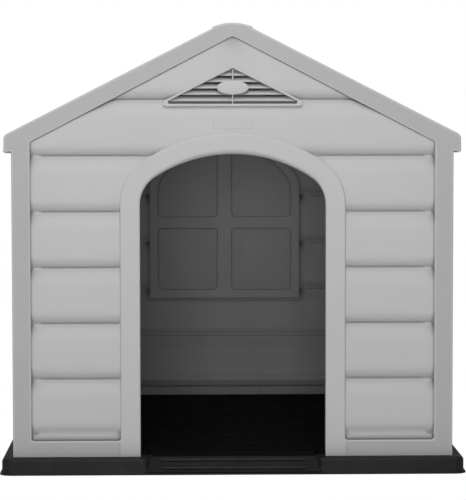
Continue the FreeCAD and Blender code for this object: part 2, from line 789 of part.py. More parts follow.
def gable_vent():
    """A louvred vent in the front gable."""
    face_y = -half_depth
    front_y = face_y - vent_rim_proud
    depth = vent_rim_proud + panel_back + vent_sleeve_reach
    rim = slab(vent_rim_outline(), front_y, vent_rim_proud + plank_recess)
    sleeve = slab(grown(vent_outline(), vent_sleeve_wall), front_y, depth)
    body = rim.fuse(sleeve).cut(slab(vent_outline(), front_y, depth))
    middle = block(-vent_bar / 2.0, vent_bar / 2.0, face_y, face_y + vent_bar,
                   ledge_z + vent_foot - vent_sleeve_wall / 2.0,
                   ledge_z + vent_foot + vent_width / 2.0 * math.tan(slope))
    barbs = [vent_barb(face_y, side) for side in (-1, 1)]
    return joined([body] + vent_slats(face_y) + [middle, badge(face_y)] + barbs)


# ---- Floor tray --------------------------------------------------------------------------------
def plan(half_x, half_y, radius):
    return rectangle(-half_x, -half_y, half_x, half_y, radius)


def rounded_top(shape, radius, edges_at):
    """Round the edges of a shape whose ends all pass a test."""
    edges = [edge for edge in shape.Edges if all(edges_at(vertex.Point) for vertex in edge.Vertexes)]
    return shape.makeFillet(radius, edges)


def tray_notch(shrink=0.0):
    """What the threshold ramp leaves out of the front of the tray, moved outwards by shrink."""
    sill_y = -half_depth - threshold_lead
    front_y = -half_depth - tray_margin
    sill_z = floor_z - threshold_drop
    corners = [(front_y - tray_height, tray_flange, 0.0), (front_y, tray_flange, 0.0),
               (sill_y, sill_z, 0.0), (sill_y, floor_z + tray_height, 0.0),
               (front_y - tray_height, floor_z + tray_height, 0.0)]
    half = threshold_width / 2.0 + shrink
    return bar(grown(corners, shrink), -half, 2.0 * half)


def tray_body():
    """Outside of the tray above its foot flange."""
    skirt_x = half_width + tray_margin - tray_flange_proud
    skirt_y = half_depth + tray_margin - tray_flange_proud
    skirt = plate(plan(skirt_x, skirt_y, tray_corner_radius - tray_flange_proud), 0.0, tray_height)
    skirt = rounded_top(skirt, ledge_radius, lambda point: abs(point.z - tray_height) < tolerance)
    floor = plate(plan(inner_x - fit_gap, inner_y - fit_gap, floor_corner_radius), ledge_z - skin,
                  floor_rise + skin)
    floor = rounded_top(floor, floor_edge_radius, lambda point: abs(point.z - floor_z) < tolerance)
    sill_y = -half_depth - threshold_lead
    sill = block(-threshold_width / 2.0, threshold_width / 2.0, sill_y, -inner_y + floor_corner_radius,
                 ledge_z - skin, floor_z)
    sill = rounded_top(sill, threshold_edge_radius,
                       lambda point: abs(point.z - floor_z) < tolerance and abs(point.y - sill_y) < tolerance)
    return skirt.fuse([floor, sill])


def tray_hollow():
    """Space under the tray, before its ribs."""
    inside_x = half_width + tray_margin - tray_flange_proud - skin
    inside_y = half_depth + tray_margin - tray_flange_proud - skin
    radius = tray_corner_radius - tray_flange_proud - skin
    under_ledge = plate(plan(inside_x, inside_y, radius), 0.0, tray_height - skin)
    under_floor = plate(plan(inner_x - fit_gap - skin, inner_y - fit_gap - skin,
                             floor_corner_radius - skin), 0.0, floor_z - skin)
    sill_half = threshold_width / 2.0 - skin
    under_sill = block(-sill_half, sill_half, -half_depth - threshold_lead + skin, -inner_y + skin,
                       0.0, floor_z - skin)
    return under_ledge.fuse([under_floor, under_sill]).cut(tray_notch(skin))


def tray_ribs():
    """Grid of ribs below the floor, before it is trimmed to the hollow."""
    inside_x = half_width + tray_margin - tray_flange_proud - skin
    inside_y = half_depth + tray_margin - tray_flange_proud - skin
    half = tray_rib / 2.0
    ribs = []
    for index in range(1, tray_cells):
        share = 2.0 * index / tray_cells - 1.0
        x = inside_x * share
        y = inside_y * share
        ribs.append(block(x - half, x + half, -inside_y, inside_y, 0.0, floor_z))
        ribs.append(block(-inside_x, inside_x, y - half, y + half, 0.0, floor_z))
    return ribs[0].fuse(ribs[1:])


def tread(share):
    """Raised rib across the threshold ramp."""
    top = (-half_depth - threshold_lead, floor_z - threshold_drop)
    foot = (-half_depth - tray_margin, tray_flange)
    down_y, down_z, length = unit(top, foot)
    middle = (top[0] + down_y * length * share, top[1] + down_z * length * share)
    corners = []
    for along, out in ((1.0, -1.0), (-1.0, -1.0), (-1.0, 1.0), (1.0, 1.0)):
        reach = -along * tread_width / 2.0
        rise = tread_height if out > 0.0 else -skin / 2.0
        corners.append((middle[0] + down_y * reach + down_z * rise,
                        middle[1] + down_z * reach - down_y * rise, 0.0))
    return bar(corners, -tread_length / 2.0, tread_length)


def tray_screw_places():
    """Plan positions of the screws that come up into the walls."""
    front_y = half_depth - boss_inset
    side_x = half_width - boss_inset
    places = [(cell_middle(index, half_width), -front_y) for index in front_tray_cells]
    places += [(-cell_middle(index, half_width), front_y) for index in back_tray_cells]
    for index in side_tray_cells:
        y = cell_middle(index, half_depth)
        places += [(-side_x, -y), (side_x, y)]
    return places


def base_tray():
    flange = plate(plan(half_width + tray_margin, half_depth + tray_margin, tray_corner_radius),
                   0.0, tray_flange)
    body = tray_body().cut(tray_notch()).fuse(flange)
    hollow = tray_hollow()
    ribs = tray_ribs().common(hollow)
    treads = [tread(share) for share in tread_places]
    tray = joined([body.cut(hollow), ribs] + treads)
    holes = [bore(FreeCAD.Vector(x, y, ledge_z - skin), UP, skin) for x, y in tray_screw_places()]
    return tray.cut(holes)


# ---- Screw groups ------------------------------------------------------------------------------
def corner_screws():
    """From inside each side wall's end into the posts of the gable walls."""
    length = frame_depth + fit_gap - screw_tip_gap
    seat_y = half_depth - frame_depth - fit_gap - skin
    screws = []
    for side in (-1.0, 1.0):
        for end in (-1.0, 1.0):
            for height in corner_heights():
                seat = FreeCAD.Vector(side * (half_width - boss_inset), end * seat_y, height)
                screws.append(screw(seat, BACK * end, length))
    return screws


def base_screws():
    """Up through the ledge of the tray into the feet of the walls."""
    length = bottom_rail - screw_tip_gap
    return [screw(FreeCAD.Vector(x, y, ledge_z - skin), UP, length) for x, y in tray_screw_places()]


def roof_screws():
    """Up through the tops of the side walls into the roof panels."""
    length = skin + roof_screw_reach() - screw_tip_gap
    screws = []
    for side in (-1.0, 1.0):
        for y in evenly(roof_screw_count, roof_length / 2.0, roof_screw_margin):
            seat = FreeCAD.Vector(side * (half_width - boss_inset), y, side_top_z - skin)
            screws.append(screw(seat, UP, length))
    return screws


def ridge_screws():
    """Across the ridge through both roof panels and the rib of the cap."""
    reach = ridge_blade / 2.0 + fit_gap + skin
    length = 2.0 * reach + ridge_boss_length - screw_tip_gap
    return [screw(FreeCAD.Vector(-reach, y, ridge_screw_z()), RIGHT, length)
            for y in evenly(ridge_screw_count, roof_length / 2.0, ridge_screw_margin)]


def main():
    os.makedirs("parts", exist_ok=True)
    side = side_wall()
    roof_panel = right_roof_panel()
    vent = gable_vent()
    nodes = {
        "base_tray": base_tray(),
        "front_wall": front_wall(),
        "back_wall": back_wall(),
        "left_wall": side.copy().rotate(ORIGIN, UP, -90.0),
        "right_wall": side.copy().rotate(ORIGIN, UP, 90.0),
        "left_roof_panel": roof_panel.mirror(ORIGIN, RIGHT),
        "right_roof_panel": ridge_bosses(roof_panel),
        "ridge_cap": ridge_cap(),
        "front_gable_vent": vent,
        "back_gable_vent": vent.copy().rotate(ORIGIN, UP, 180.0),
        "corner_screws": Part.makeCompound(corner_screws()),
        "base_screws": Part.makeCompound(base_screws()),
        "roof_screws": Part.makeCompound(roof_screws()),
        "ridge_screws": Part.makeCompound(ridge_screws()),
    }
    for name, shape in nodes.items():
        shape.exportStep("parts/" + name + ".step")
        print(name, len(shape.Solids), round(shape.Volume / 1000.0, 1), "cm3", shape.isValid())


main()
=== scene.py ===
from math import acos, asin, atan2, ceil, cos, exp, hypot, pi, radians, sin, tan, tau
import bpy
import numpy as np
from numpy.linalg import norm
from mathutils import Matrix, Vector
from mathutils.geometry import delaunay_2d_cdt
from mathutils.kdtree import KDTree


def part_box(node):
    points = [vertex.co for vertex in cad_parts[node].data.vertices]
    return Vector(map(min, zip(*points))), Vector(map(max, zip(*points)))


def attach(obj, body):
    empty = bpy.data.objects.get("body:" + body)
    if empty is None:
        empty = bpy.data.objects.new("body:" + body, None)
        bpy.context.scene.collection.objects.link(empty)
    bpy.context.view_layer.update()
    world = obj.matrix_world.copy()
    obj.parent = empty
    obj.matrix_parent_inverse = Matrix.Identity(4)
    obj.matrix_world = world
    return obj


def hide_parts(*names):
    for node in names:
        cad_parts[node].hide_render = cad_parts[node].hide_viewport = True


# Moulded plastic dog house: grey plank-pattern walls and roof on a black floor tray.
# Sizes are millimetres in the object's frame; mesh() turns them into metres.
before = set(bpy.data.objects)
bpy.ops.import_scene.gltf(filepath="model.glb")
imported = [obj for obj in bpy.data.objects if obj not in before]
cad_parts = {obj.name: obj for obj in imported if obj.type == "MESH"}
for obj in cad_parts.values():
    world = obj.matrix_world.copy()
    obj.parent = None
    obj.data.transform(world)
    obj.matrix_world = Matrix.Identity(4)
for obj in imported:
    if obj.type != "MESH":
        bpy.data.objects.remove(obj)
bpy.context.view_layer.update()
MM = 0.001


def node_box(name):
    """Lowest and highest corner of a CAD node, in millimetres."""
    low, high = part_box(name)
    return np.array(low) / MM, np.array(high) / MM


# ---- Sizes taken from the frame ----
gable_low, gable_high = node_box("front_wall")
_, side_high = node_box("right_wall")
_, tray_high = node_box("base_tray")
ledge_z = gable_low[2]
half_depth = -gable_low[1]
eave_x, _, cap_top_z = gable_high
half_width, side_half, side_top_z = side_high
tray_half_x, tray_half_y, floor_z = tray_high

# ---- Cabin ----
slope = radians(27.0)
ridge_z = ledge_z + 795.0  # where the two slopes would meet
skin = 3.0
frame_depth = 20.0
fit_gap = 0.3
outer_round = 2.6  # outer edges of a moulding
foot_round = 0.8  # foot of the gable walls
arch_round = 9.0  # crown of the doorway
inner_round = 1.6  # edges round a plank panel
largest_round = 0.95  # share of a step's depth that its rounding may take
support = 0.6  # narrow flat strip beside a rounding

# ---- Mesh ----
arc_step = radians(9.0)
panel_step = 3.0  # longest step round a plank panel
trim_step = 6.0
rim_step = 8.0
gable_step = 12.0
roof_step = 24.0
column_step = 11.0  # between the points of a mesh row
roof_column = 18.0
cap_column = 40.0
edge_rings = (1.0, 2.0, 3.2, 5.0, 7.5, 10.5, 14.0)  # mesh rings inside the edge of a panel
ring_share = 0.96  # share of its distance that a ring keeps off every edge
keep_off = 16.5  # free strip between the edge of a panel and its mesh rows
soft_keep_off = 2.5  # the same beside the door trim
batch = 1000  # points compared with a loop at a time
hole_margin = 0.8  # narrow strip round a hole in a plank panel
hole_gap = 1.5  # other points keep this far from a hole or an edge
peak_grid = (16, 14, 4.0, 3.0)  # in a gable's peak: columns a side, rows, and their steps
end_grid = (30, 2.6, 45.0, 16.0)  # at a gable plank's end: columns, step, reach, half height

# ---- Frames and planks ----
post_width = 33.5
rail_z = ledge_z + 28.7  # top of the foot rail
side_top_rail = 26.0
fascia_width = 32.3
plank_pitch = 101.4
first_groove = 39.6
first_z = ledge_z + first_groove
gable_groove = 6  # number of the highest groove on a gable wall
no_groove = 1000.0  # distance that stands for none
plank_recess = 3.0
groove_depth = 10.0  # foot of a plank at its groove
head_depth = 3.2  # head of the plank below
head_edge = 0.8  # height of the rounded edge on top of a plank
roll_under = 21.0
roll_over = 34.0
over_corner = (9.0, 10.0)  # rounded upper corner of a plank, along and up
under_corner = (7.0, 6.0)
end_drop = 2.2  # plank ends dip this much beside a post
end_reach = 3.5
trim_round = 3.0  # soft edge of the door trim
corner_painted_shade = (0.75, 6.5, 20.0)  # painted shade in the corner at a plank's head: strength, reach along, reach down
foot_painted_shade = (0.35, 5.0, 6.0)  # painted shade in the corner at a plank's foot, the same
crease_painted_shade = (0.16, 5.0)  # painted shade along a plank's head: strength, reach
edge_painted_shade = (0.2, 2.5)  # painted shade beside a post: strength, reach
crown_lift = (1.0, 110.0, 16.0)  # planks over the doorway's crown: rise, reach along, reach up
trim_foot_painted_shade = (0.12, 25.0)  # painted shade at the foot of the door trim: strength, reach
peak_painted_shade = (0.5, 14.0)  # painted shade in the peak of the gable panel: strength, reach
panel_corner = 5.0
ridge_corner = 9.0
peak_lift = 4.0  # top of the gable panel above the line of its shoulders
lip_height = 32.3
lip_slant = 2.0
lip_round = 3.8
eave_corner = 12.0
lip_corner = 2.0
cap_half = 36.0
cap_step = 2.5
cap_crown = 7.3
cap_radius = (cap_half ** 2 + cap_crown ** 2) / (2.0 * cap_crown)

# ---- Doorway and window ----
door = {"width": 336.4, "top": 550.0, "spring": 458.0, "shoulder": 60.0}
door_trim = 36.4
door_half = door["width"] / 2.0
trim_half = door_half + door_trim
trim_margin = 1.0  # points this near to the door trim belong to it
window = {"width": 284.0, "top": 548.4, "spring": 453.0, "shoulder": 50.0, "foot": 240.4}
window_trim = 23.0
mullion_width = 35.0
transom_foot = 369.7
transom_height = 29.0
pane_recess = 6.5
pane_step = 4.0
pane_corner = 6.0
vent_width = 252.4
vent_z = ledge_z + 640.8
vent_rise = vent_width / 2.0 * tan(slope)
vent_corner = 3.0
vent_sleeve = 2.5
vent_rim = 4.0
vent_sill = 4.6
vent_rim_corner = 5.6
vent_face = 1.3  # rim behind the frame face
vent_round = 1.1
slat_pitch = 11.4
slat_lift = 9.0  # middle of the lowest slat above the foot of the opening
slat_thickness = 2.0
slat_reach = 9.0
slat_fall = 9.6
slat_edge = 0.45  # rounding of a slat's edges, as a share of its thickness
slat_front = vent_face + 2.0
slat_back = slat_front + slat_reach
slat_painted_shade = 0.45  # painted shade: share of the light that the back of a slat loses
vent_bar = 2.4
bar_proud = 0.4
badge_width = 57.6
badge_height = 25.0
badge_z = vent_z + 29.0
badge_dome = ((1.0, 0.0), (0.985, 0.5), (0.95, 0.8), (0.8, 1.2), (0.5, 1.6), (0.2, 1.8))  # share, rise
plate_half = 35.7
plate_z = ledge_z + 595.3
plate_height = 16.8
plate_corner = 1.2
plate_proud = 1.0
plate_sunk = 1.0
plate_round = 0.5

# ---- Floor tray ----
tray_corner = 22.0
flange_height = 3.0
flange_round = 1.2
flange_proud = 4.0
ledge_round = 7.0
floor_inset = 44.3
floor_round = 4.0
ramp_foot = np.array([1.6 - tray_half_y, flange_height])
ramp_half = 151.0
ramp_flare = 11.0  # wider at its foot by this, each side
ramp_fade = 9.0
ramp_side = 130.0  # the tray's rings have close points from here past the ramp's edge
sill_painted_shade_z = 35.0  # the ramp takes the floor's darker copy of the black plastic, with painted shade, above this
sill_drop = 6.0
sill_points = 8  # points of the ramp past its slope
ramp_head = np.array([-half_depth - 4.0, floor_z - sill_drop])
tread_length = 264.0
tread_width = 5.0
tread_height = 2.5
tread_corner = 2.2
tread_round = 1.5
tread_sunk = 1.5
tread_places = (0.30, 0.73)  # share of the way down the ramp
tray_cells = 11  # cells between the ribs under the tray, each way
tray_rib = 2.5
rib_corner = 3.0  # rounded foot of a rib's end

# ---- Roof ----
roof_boards = 4
roof_border = 45.0
roof_groove = 5.0
roof_under = 12.0
roof_over = 20.0
roof_edge = 12.0  # how far the edges of a panel turn down
roof_round = 2.0
board_end = 10.0  # flat edge beside the gables
board_fade = 14.0
cap_edge = 5.0
cap_round = 1.6


def roof_top(x):
    """Height of the roof line at a distance from the middle."""
    return ridge_z - abs(x) * tan(slope)


def below_roof(x, depth):
    """Height of the line a depth below the roof line, square to it."""
    return roof_top(x) - depth / cos(slope)


lip_foot_z = roof_top(eave_x) - lip_height


def eased(share):
    """Smooth step from 0 to 1."""
    return share * share * (3.0 - 2.0 * share)


# ---- Outlines ----
def rectangle(half, low, high, radius=0.0, top_radius=None):
    """Corners of a rectangle over the middle line, from its lower left one to its upper left."""
    top = radius if top_radius is None else top_radius
    return [(-half, low, radius), (half, low, radius), (half, high, top), (-half, high, top)]


def triangle(half, foot, radius):
    """Corners of a triangle under the roof's slopes."""
    return [(-half, foot, radius), (half, foot, radius), (0.0, foot + half * tan(slope), radius)]


def mirrored(corners):
    return [(-x, z, radius) for x, z, radius in reversed(corners)]


def towards(start, end):
    """Unit vector between two points."""
    step = np.subtract(end, start)
    return step / hypot(*step)


def turned(point, angle):
    x, z = point
    c, s = cos(angle), sin(angle)
    return np.array([x * c - z * s, x * s + z * c])


def loop_through(corners, longest=1000.0):
    """Closed (x, z) loop through (x, z, radius) corners, with no straight step over longest."""
    stops = []
    for index, (x, z, radius) in enumerate(corners):
        here = np.array((x, z))
        back = towards(here, corners[index - 1][:2])
        onward = towards(here, corners[(index + 1) % len(corners)][:2])
        half = acos(float(np.clip(back @ onward, -1.0, 1.0))) / 2.0
        if radius <= 0.0:
            stops.append([here])
            continue
        inwards = (back + onward) / norm(back + onward)
        centre = here + inwards * radius / sin(half)
        start = here + back * radius / tan(half) - centre
        turn = pi - 2.0 * half
        if back[0] * onward[1] - back[1] * onward[0] > 0.0:
            turn = -turn
        count = max(3, ceil(abs(turn) / arc_step), ceil(abs(turn) * radius / longest))
        angles = [turn * step / count for step in range(count + 1)]
        stops.append([centre + turned(start, angle) for angle in angles])
    points = []
    for index, stop in enumerate(stops):
        points += stop
        following = stops[(index + 1) % len(stops)][0]
        span = norm(following - stop[-1])
        if span < 0.01:
            points.pop()
            continue
        count = ceil(span / longest)
        points += [stop[-1] + (following - stop[-1]) * step / count for step in range(1, count)]
    return np.array(points)


def moved_in(loop, distance):
    """The loop moved to its left by a distance, or by one for each point."""
    before = loop - np.roll(loop, 1, axis=0)
    after = np.roll(before, -1, axis=0)
    before = before / norm(before, axis=1)[:, None]
    after = after / norm(after, axis=1)[:, None]
    dot = (before * after).sum(axis=1)
    normal = np.stack([-(before + after)[:, 1], (before + after)[:, 0]], axis=1)
    return loop + normal * (np.broadcast_to(distance, len(loop)) / (1.0 + dot))[:, None]


def arch_corners(sizes, grow=0.0):
    """Corners of a three-centred arch, from right to left."""
    half = sizes["width"] / 2.0 + grow
    rise = sizes["top"] - sizes["spring"] + grow
    radius = sizes["shoulder"] + grow
    crown = (half ** 2 - 2.0 * half * radius + rise ** 2) / (2.0 * (rise - radius))
    spring_z = ledge_z + sizes["spring"]
    lean = atan2(crown - rise, half - radius)
    corner_z = spring_z + radius * tan(lean / 2.0)
    top_z = spring_z + rise - crown + crown / sin(lean)
    return [(half, corner_z, radius), (0.0, top_z, crown), (-half, corner_z, radius)]


def inside_loops(points, loops):
    """Which points lie inside the loops."""
    result = np.zeros(len(points), bool)
    start = np.concatenate(loops)
    end = np.concatenate([np.roll(loop, -1, axis=0) for loop in loops])
    rise = np.where(end[:, 1] == start[:, 1], 1.0, end[:, 1] - start[:, 1])
    for first in range(0, len(points), batch):
        x, z = points[first:first + batch, :, None].transpose(1, 0, 2)
        spans = (start[:, 1] > z) != (end[:, 1] > z)
        cross_x = start[:, 0] + (z - start[:, 1]) / rise * (end[:, 0] - start[:, 0])
        result[first:first + batch] = (spans & (cross_x > x)).sum(axis=1) % 2 == 1
    return result


# ---- Surfaces ----
class Surface:
    """Faces over (u, v) points with a depth, seen from the front with u to the right and v up."""

    def __init__(self, place):
        self.place = place  # (u, v, depth) to a point
        # painted shade for each point, read by the materials
        self.flat, self.depths, self.painted_shades = [], [], []
        self.faces, self.finishes = [], []

    def add(self, flat, depth, painted_shade=0.0):
        """Indices of new (u, v) points; the last argument is painted shade, the share of the light lost in
        a tight corner.
        """
        first = len(self.flat)
        self.flat += [(u, v) for u, v in flat]
        self.depths += list(np.broadcast_to(depth, len(flat)))
        self.painted_shades += list(np.broadcast_to(painted_shade, len(flat)))
        return np.arange(first, len(self.flat))

    def loop(self, ring):
        return np.array([self.flat[index] for index in ring])

    def face(self, corners, finish=0):
        self.faces.append(tuple(int(corner) for corner in corners))
        self.finishes.append(finish)

    def bridge(self, outer, inner, finish=0):
        """Quads between two rings that walk with the surface on their left."""
        finishes = np.broadcast_to(finish, len(outer))
        for corners, own in zip(zip(outer, np.roll(outer, -1), np.roll(inner, -1), inner), finishes):
            self.face(corners, int(own))

    def fill(self, rings, inside=(), seams=(), finish=0, finish_of=None):
        """Triangles between rings, which have the surface on their left, and points inside."""
        used = np.concatenate([np.asarray(ring) for ring in rings] + [np.asarray(inside, int)])
        flat = self.loop(used)
        edges = [tuple(int(np.flatnonzero(used == end)[0]) for end in seam) for seam in seams]
        first = 0
        for ring in rings:
            count = len(ring)
            edges += [(first + step, first + (step + 1) % count) for step in range(count)]
            first += count
        _, _, faces, origin, _, _ = delaunay_2d_cdt([Vector(point) for point in flat], edges, [], 0, 1e-5)
        source = [found[0] if found else -1 for found in origin]
        faces = np.array([[source[corner] for corner in face] for face in faces])
        faces = faces[(faces >= 0).all(axis=1)]
        on_rings = (faces < first).all(axis=1)
        keep = ~on_rings
        middles = flat[faces[on_rings]].mean(axis=1)
        keep[on_rings] = inside_loops(middles, [self.loop(ring) for ring in rings])
        faces = faces[keep]
        finishes = finish_of(flat[faces].mean(axis=1)) if finish_of else [finish] * len(faces)
        for corners, own in zip(used[faces], finishes):
            self.face(corners, int(own))

    def rounded_edge(self, loop, foot, radius, steps=4, face=0.0):
        """Wall and rounding from a ring or a depth up to the front face; returns the last ring."""
        last = foot if np.ndim(foot) else self.add(loop, foot)
        for step in range(steps + 1):
            angle = pi / 2.0 * step / steps
            shifted = moved_in(loop, radius * (1.0 - cos(angle)))
            ring = self.add(shifted, face + radius * (1.0 - sin(angle)))
            self.bridge(last, ring)
            last = ring
        ring = self.add(moved_in(loop, radius + support), face)
        self.bridge(last, ring)
        return ring

    def pad(self, loop, foot, face, radius):
        """Raised blank with rounded edges."""
        self.fill([self.rounded_edge(loop, foot, radius, 3, face)])

    def relief(self, rings, holes, depth_of, rows, column, painted_shade_of=None, extra=(), soft_loops=None):
        """Fill between rings and holes, with mesh rows that run up to the rings' soft stretches."""
        edges = [self.loop(ring) for ring in rings]
        hole_loops = [self.loop(hole) for hole in holes]
        soft_loops = soft_loops or all_hard(*edges)
        clear = clearance(edges)
        hard_clear = clearance([loop[~soft] for loop, soft in zip(edges, soft_loops)])
        low = np.concatenate(edges).min(axis=0)
        high = np.concatenate(edges).max(axis=0)
        flat = []
        for distance in edge_rings:
            for loop, soft in zip(edges, soft_loops):
                ring = moved_in(loop, distance)
                inner = distance > edge_rings[0]
                flat.append(ring[(clear(ring) > distance * ring_share) & ~(soft & inner)])
        columns = np.linspace(low[0], high[0], ceil((high[0] - low[0]) / column))
        grid = np.stack(np.meshgrid(columns, [row for row in rows if low[1] < row < high[1]]), axis=2)
        grid = grid.reshape(-1, 2)
        flat.append(grid[(hard_clear(grid) > keep_off) & (clear(grid) > soft_keep_off)])
        if len(extra):
            flat.append(extra[clear(extra) > hole_gap])
        flat = np.concatenate(flat)
        flat = flat[inside_loops(flat, edges + hole_loops)]
        for hole in hole_loops:
            gap = np.abs(flat[:, None, :] - hole[None, :, :]).max(axis=2).min(axis=1)
            flat = flat[gap > hole_gap]
        flat = np.concatenate([flat] + [moved_in(hole, hole_margin) for hole in hole_loops])
        inside = self.add(flat, depth_of(flat), painted_shade_of(flat) if painted_shade_of else 0.0)
        self.fill(list(rings) + list(holes), inside)


def clearance(loops):
    """Function that gives the distance of (u, v) points from the nearest loop."""
    points = np.concatenate([np.concatenate([loop, (loop + np.roll(loop, 1, axis=0)) / 2.0])
                             for loop in loops])
    tree = KDTree(len(points))
    for index, (u, v) in enumerate(points):
        tree.insert((u, v, 0.0), index)
    tree.balance()
    return lambda flat: np.array([tree.find((u, v, 0.0))[2] for u, v in flat])


# ---- Plank relief ----
def rolled(distance, reach, depth):
    """Depth of a rounded plank edge at a distance from its groove."""
    radius = (reach ** 2 + depth ** 2) / (2.0 * depth)
    away = reach - np.clip(distance, 0.0, reach)
    return radius - np.sqrt(radius ** 2 - away ** 2)


def corner_rise(near, size):
    """Height of a rounded plank corner over its groove, near the plank's end."""
    along, up = size
    share = np.clip(1.0 - near / along, 0.0, 1.0)
    return up * (1.0 - np.sqrt(1.0 - share ** 2))


def head_curve(distance):
    """Depth of a plank's head at a distance below its rounded top edge."""
    share = np.clip((distance - head_edge) / (roll_over - head_edge), 0.0, 1.0)
    low = np.clip((share - 0.08) / 0.92, 0.0, 1.0)
    bend = head_depth * (0.5 + 0.5 * np.cos(pi * low))
    edge = np.clip(1.0 - distance / head_edge, 0.0, 1.0)
    return bend + (groove_depth - bend) * (1.0 - np.sqrt(1.0 - edge ** 2))


def from_grooves(height, top_groove):
    """Distances to the groove above and to the groove below; far where there is none."""
    row = np.floor((height - first_z) / plank_pitch)
    below = height - first_z - row * plank_pitch
    above = np.where(row + 1 > top_groove, no_groove, plank_pitch - below)
    return above, np.where((row < 0) | (row > top_groove), no_groove, below)


def plank_depth(flat, near, top_groove):
    """Depth of the planks behind the frame face, for points a distance from the panel's edge."""
    above, below = from_grooves(flat[:, 1], top_groove)
    head = head_curve(above - corner_rise(near, over_corner))
    foot = rolled(below - corner_rise(near, under_corner), roll_under, groove_depth)
    drop = np.maximum(head, foot)
    dip = end_drop * np.clip(1.0 - near / end_reach, 0.0, 1.0) ** 2
    return plank_recess + drop + dip * (1.0 - drop / groove_depth)


def gable_peak():
    return np.array([0.0, below_roof(0.0, fascia_width) + peak_lift])


def plank_painted_shade(flat, near, top_groove):
    """Painted shade: share of the light lost in the corners of the planks and in the peak of the gable."""
    above, below = from_grooves(flat[:, 1], top_groove)
    painted_shade = crease_painted_shade[0] * np.exp(-(above / crease_painted_shade[1]) ** 2)
    painted_shade = np.maximum(painted_shade, edge_painted_shade[0] * np.exp(-near / edge_painted_shade[1]))
    for distance, (strength, along, up) in ((above, corner_painted_shade), (below, foot_painted_shade)):
        painted_shade = np.maximum(painted_shade, strength * np.exp(-near / along - (distance / up) ** 2))
    strength, reach = peak_painted_shade
    return np.maximum(painted_shade, strength * np.exp(-norm(flat - gable_peak(), axis=1) / reach))


def plank_rows(low, high):
    """Heights of the mesh rows: close together at the grooves."""
    heights = []
    for row in range(-1, ceil((high - first_z) / plank_pitch) + 1):
        groove = first_z + row * plank_pitch
        heights += [groove - head_edge * step / 4.0 for step in range(4)]
        heights += [groove - head_edge - (roll_over - head_edge) * (step / 8.0) ** 1.5 for step in range(9)]
        heights += [groove + roll_under * (step / 6.0) ** 2 for step in range(1, 7)]
        flat_part = plank_pitch - roll_over - roll_under
        heights += [groove + roll_under + flat_part * step / 4.0 for step in range(1, 4)]
    return np.array([height for height in sorted(heights) if low < height < high])


def close_points():
    """Closer mesh points in a gable's peak and at its aslant plank ends."""
    sides, rows, across, down = peak_grid
    peak = [gable_peak() + (across * x, -2.0 - down * z)
            for z in range(rows) for x in range(-sides, sides + 1)]
    columns, step, reach, half = end_grid
    groove = first_z + gable_groove * plank_pitch
    end_x = (gable_peak()[1] - groove) / tan(slope)
    ends = [(side * (end_x - reach + step * column), row) for side in (-1.0, 1.0)
            for column in range(columns) for row in plank_rows(groove - half, groove + half)]
    return np.array(peak + ends)


def crown_rise(flat):
    """How far the planks come forward over the doorway."""
    rise, along, up = crown_lift
    height = flat[:, 1] - ledge_z - door["top"] - door_trim
    return rise * np.exp(-(flat[:, 0] / along) ** 2 - (height / up) ** 2)


def plank_panel(form, loops, soft_loops, holes, top_groove, rise_of=None, extra=()):
    """Relief of a plank panel inside loops, unbroken at the soft ones; returns a ring for each."""
    hard = clearance([loop[~on_soft] for loop, on_soft in zip(loops, soft_loops)])

    def near(flat):
        """Level distance to a plank's end, which is cut aslant under the gable band."""
        aslant = flat[:, 1] > below_roof(half_width - post_width, fascia_width)
        return hard(flat) / np.where(aslant, sin(slope), 1.0)

    def depth_of(flat):
        depth = plank_depth(flat, near(flat), top_groove)
        return depth - rise_of(flat) if rise_of else depth

    def painted_shade_of(flat):
        return plank_painted_shade(flat, near(flat), top_groove)

    rings = [form.add(loop, depth_of(loop), painted_shade_of(loop)) for loop in loops]
    hole_rings = [form.add(hole, depth_of(hole)) for hole in holes]
    low = min(loop[:, 1].min() for loop in loops)
    high = max(loop[:, 1].max() for loop in loops)
    form.relief(rings, hole_rings, depth_of, plank_rows(low, high), column_step, painted_shade_of,
                   extra, soft_loops)
    return rings


# ---- Pieces ----
def facing(turn, front):
    """Placer for a wall whose front lies at y = -front before its turn."""
    return lambda x, z, depth: (*turned((x, depth - front), turn), z)


def placed(name, data):
    """New object in the scene."""
    thing = bpy.data.objects.new(name, data)
    bpy.context.scene.collection.objects.link(thing)
    return thing


def mesh(name, *forms):
    points, faces, finishes, painted_shades = [], [], [], []
    for form in forms:
        first = len(points)
        points += [form.place(u, v, depth) for (u, v), depth in zip(form.flat, form.depths)]
        faces += [tuple(first + corner for corner in face) for face in form.faces]
        finishes += form.finishes
        painted_shades += form.painted_shades
    data = bpy.data.meshes.new(name)
    data.from_pydata([Vector(point) * MM for point in points], [], faces)
    data.polygons.foreach_set("material_index", finishes)
    # per-point painted shade, which the materials turn into darker colour
    data.attributes.new("painted_shade", "FLOAT", "POINT").data.foreach_set("value", painted_shades)
    data.validate()
    data.shade_smooth()
    return placed(name, data)


def thickened(piece, thickness=skin):
    modifier = piece.modifiers.new("wall thickness", "SOLIDIFY")
    modifier.thickness = thickness * MM
    modifier.offset = -1.0
    return piece


def stands_for(piece, node, slot, *materials):
    """Finish a piece: materials, body and the node it replaces; slot is not used."""
    for material in materials:
        piece.data.materials.append(material)
    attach(piece, "root")
    if node:
        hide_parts(node)
    return piece


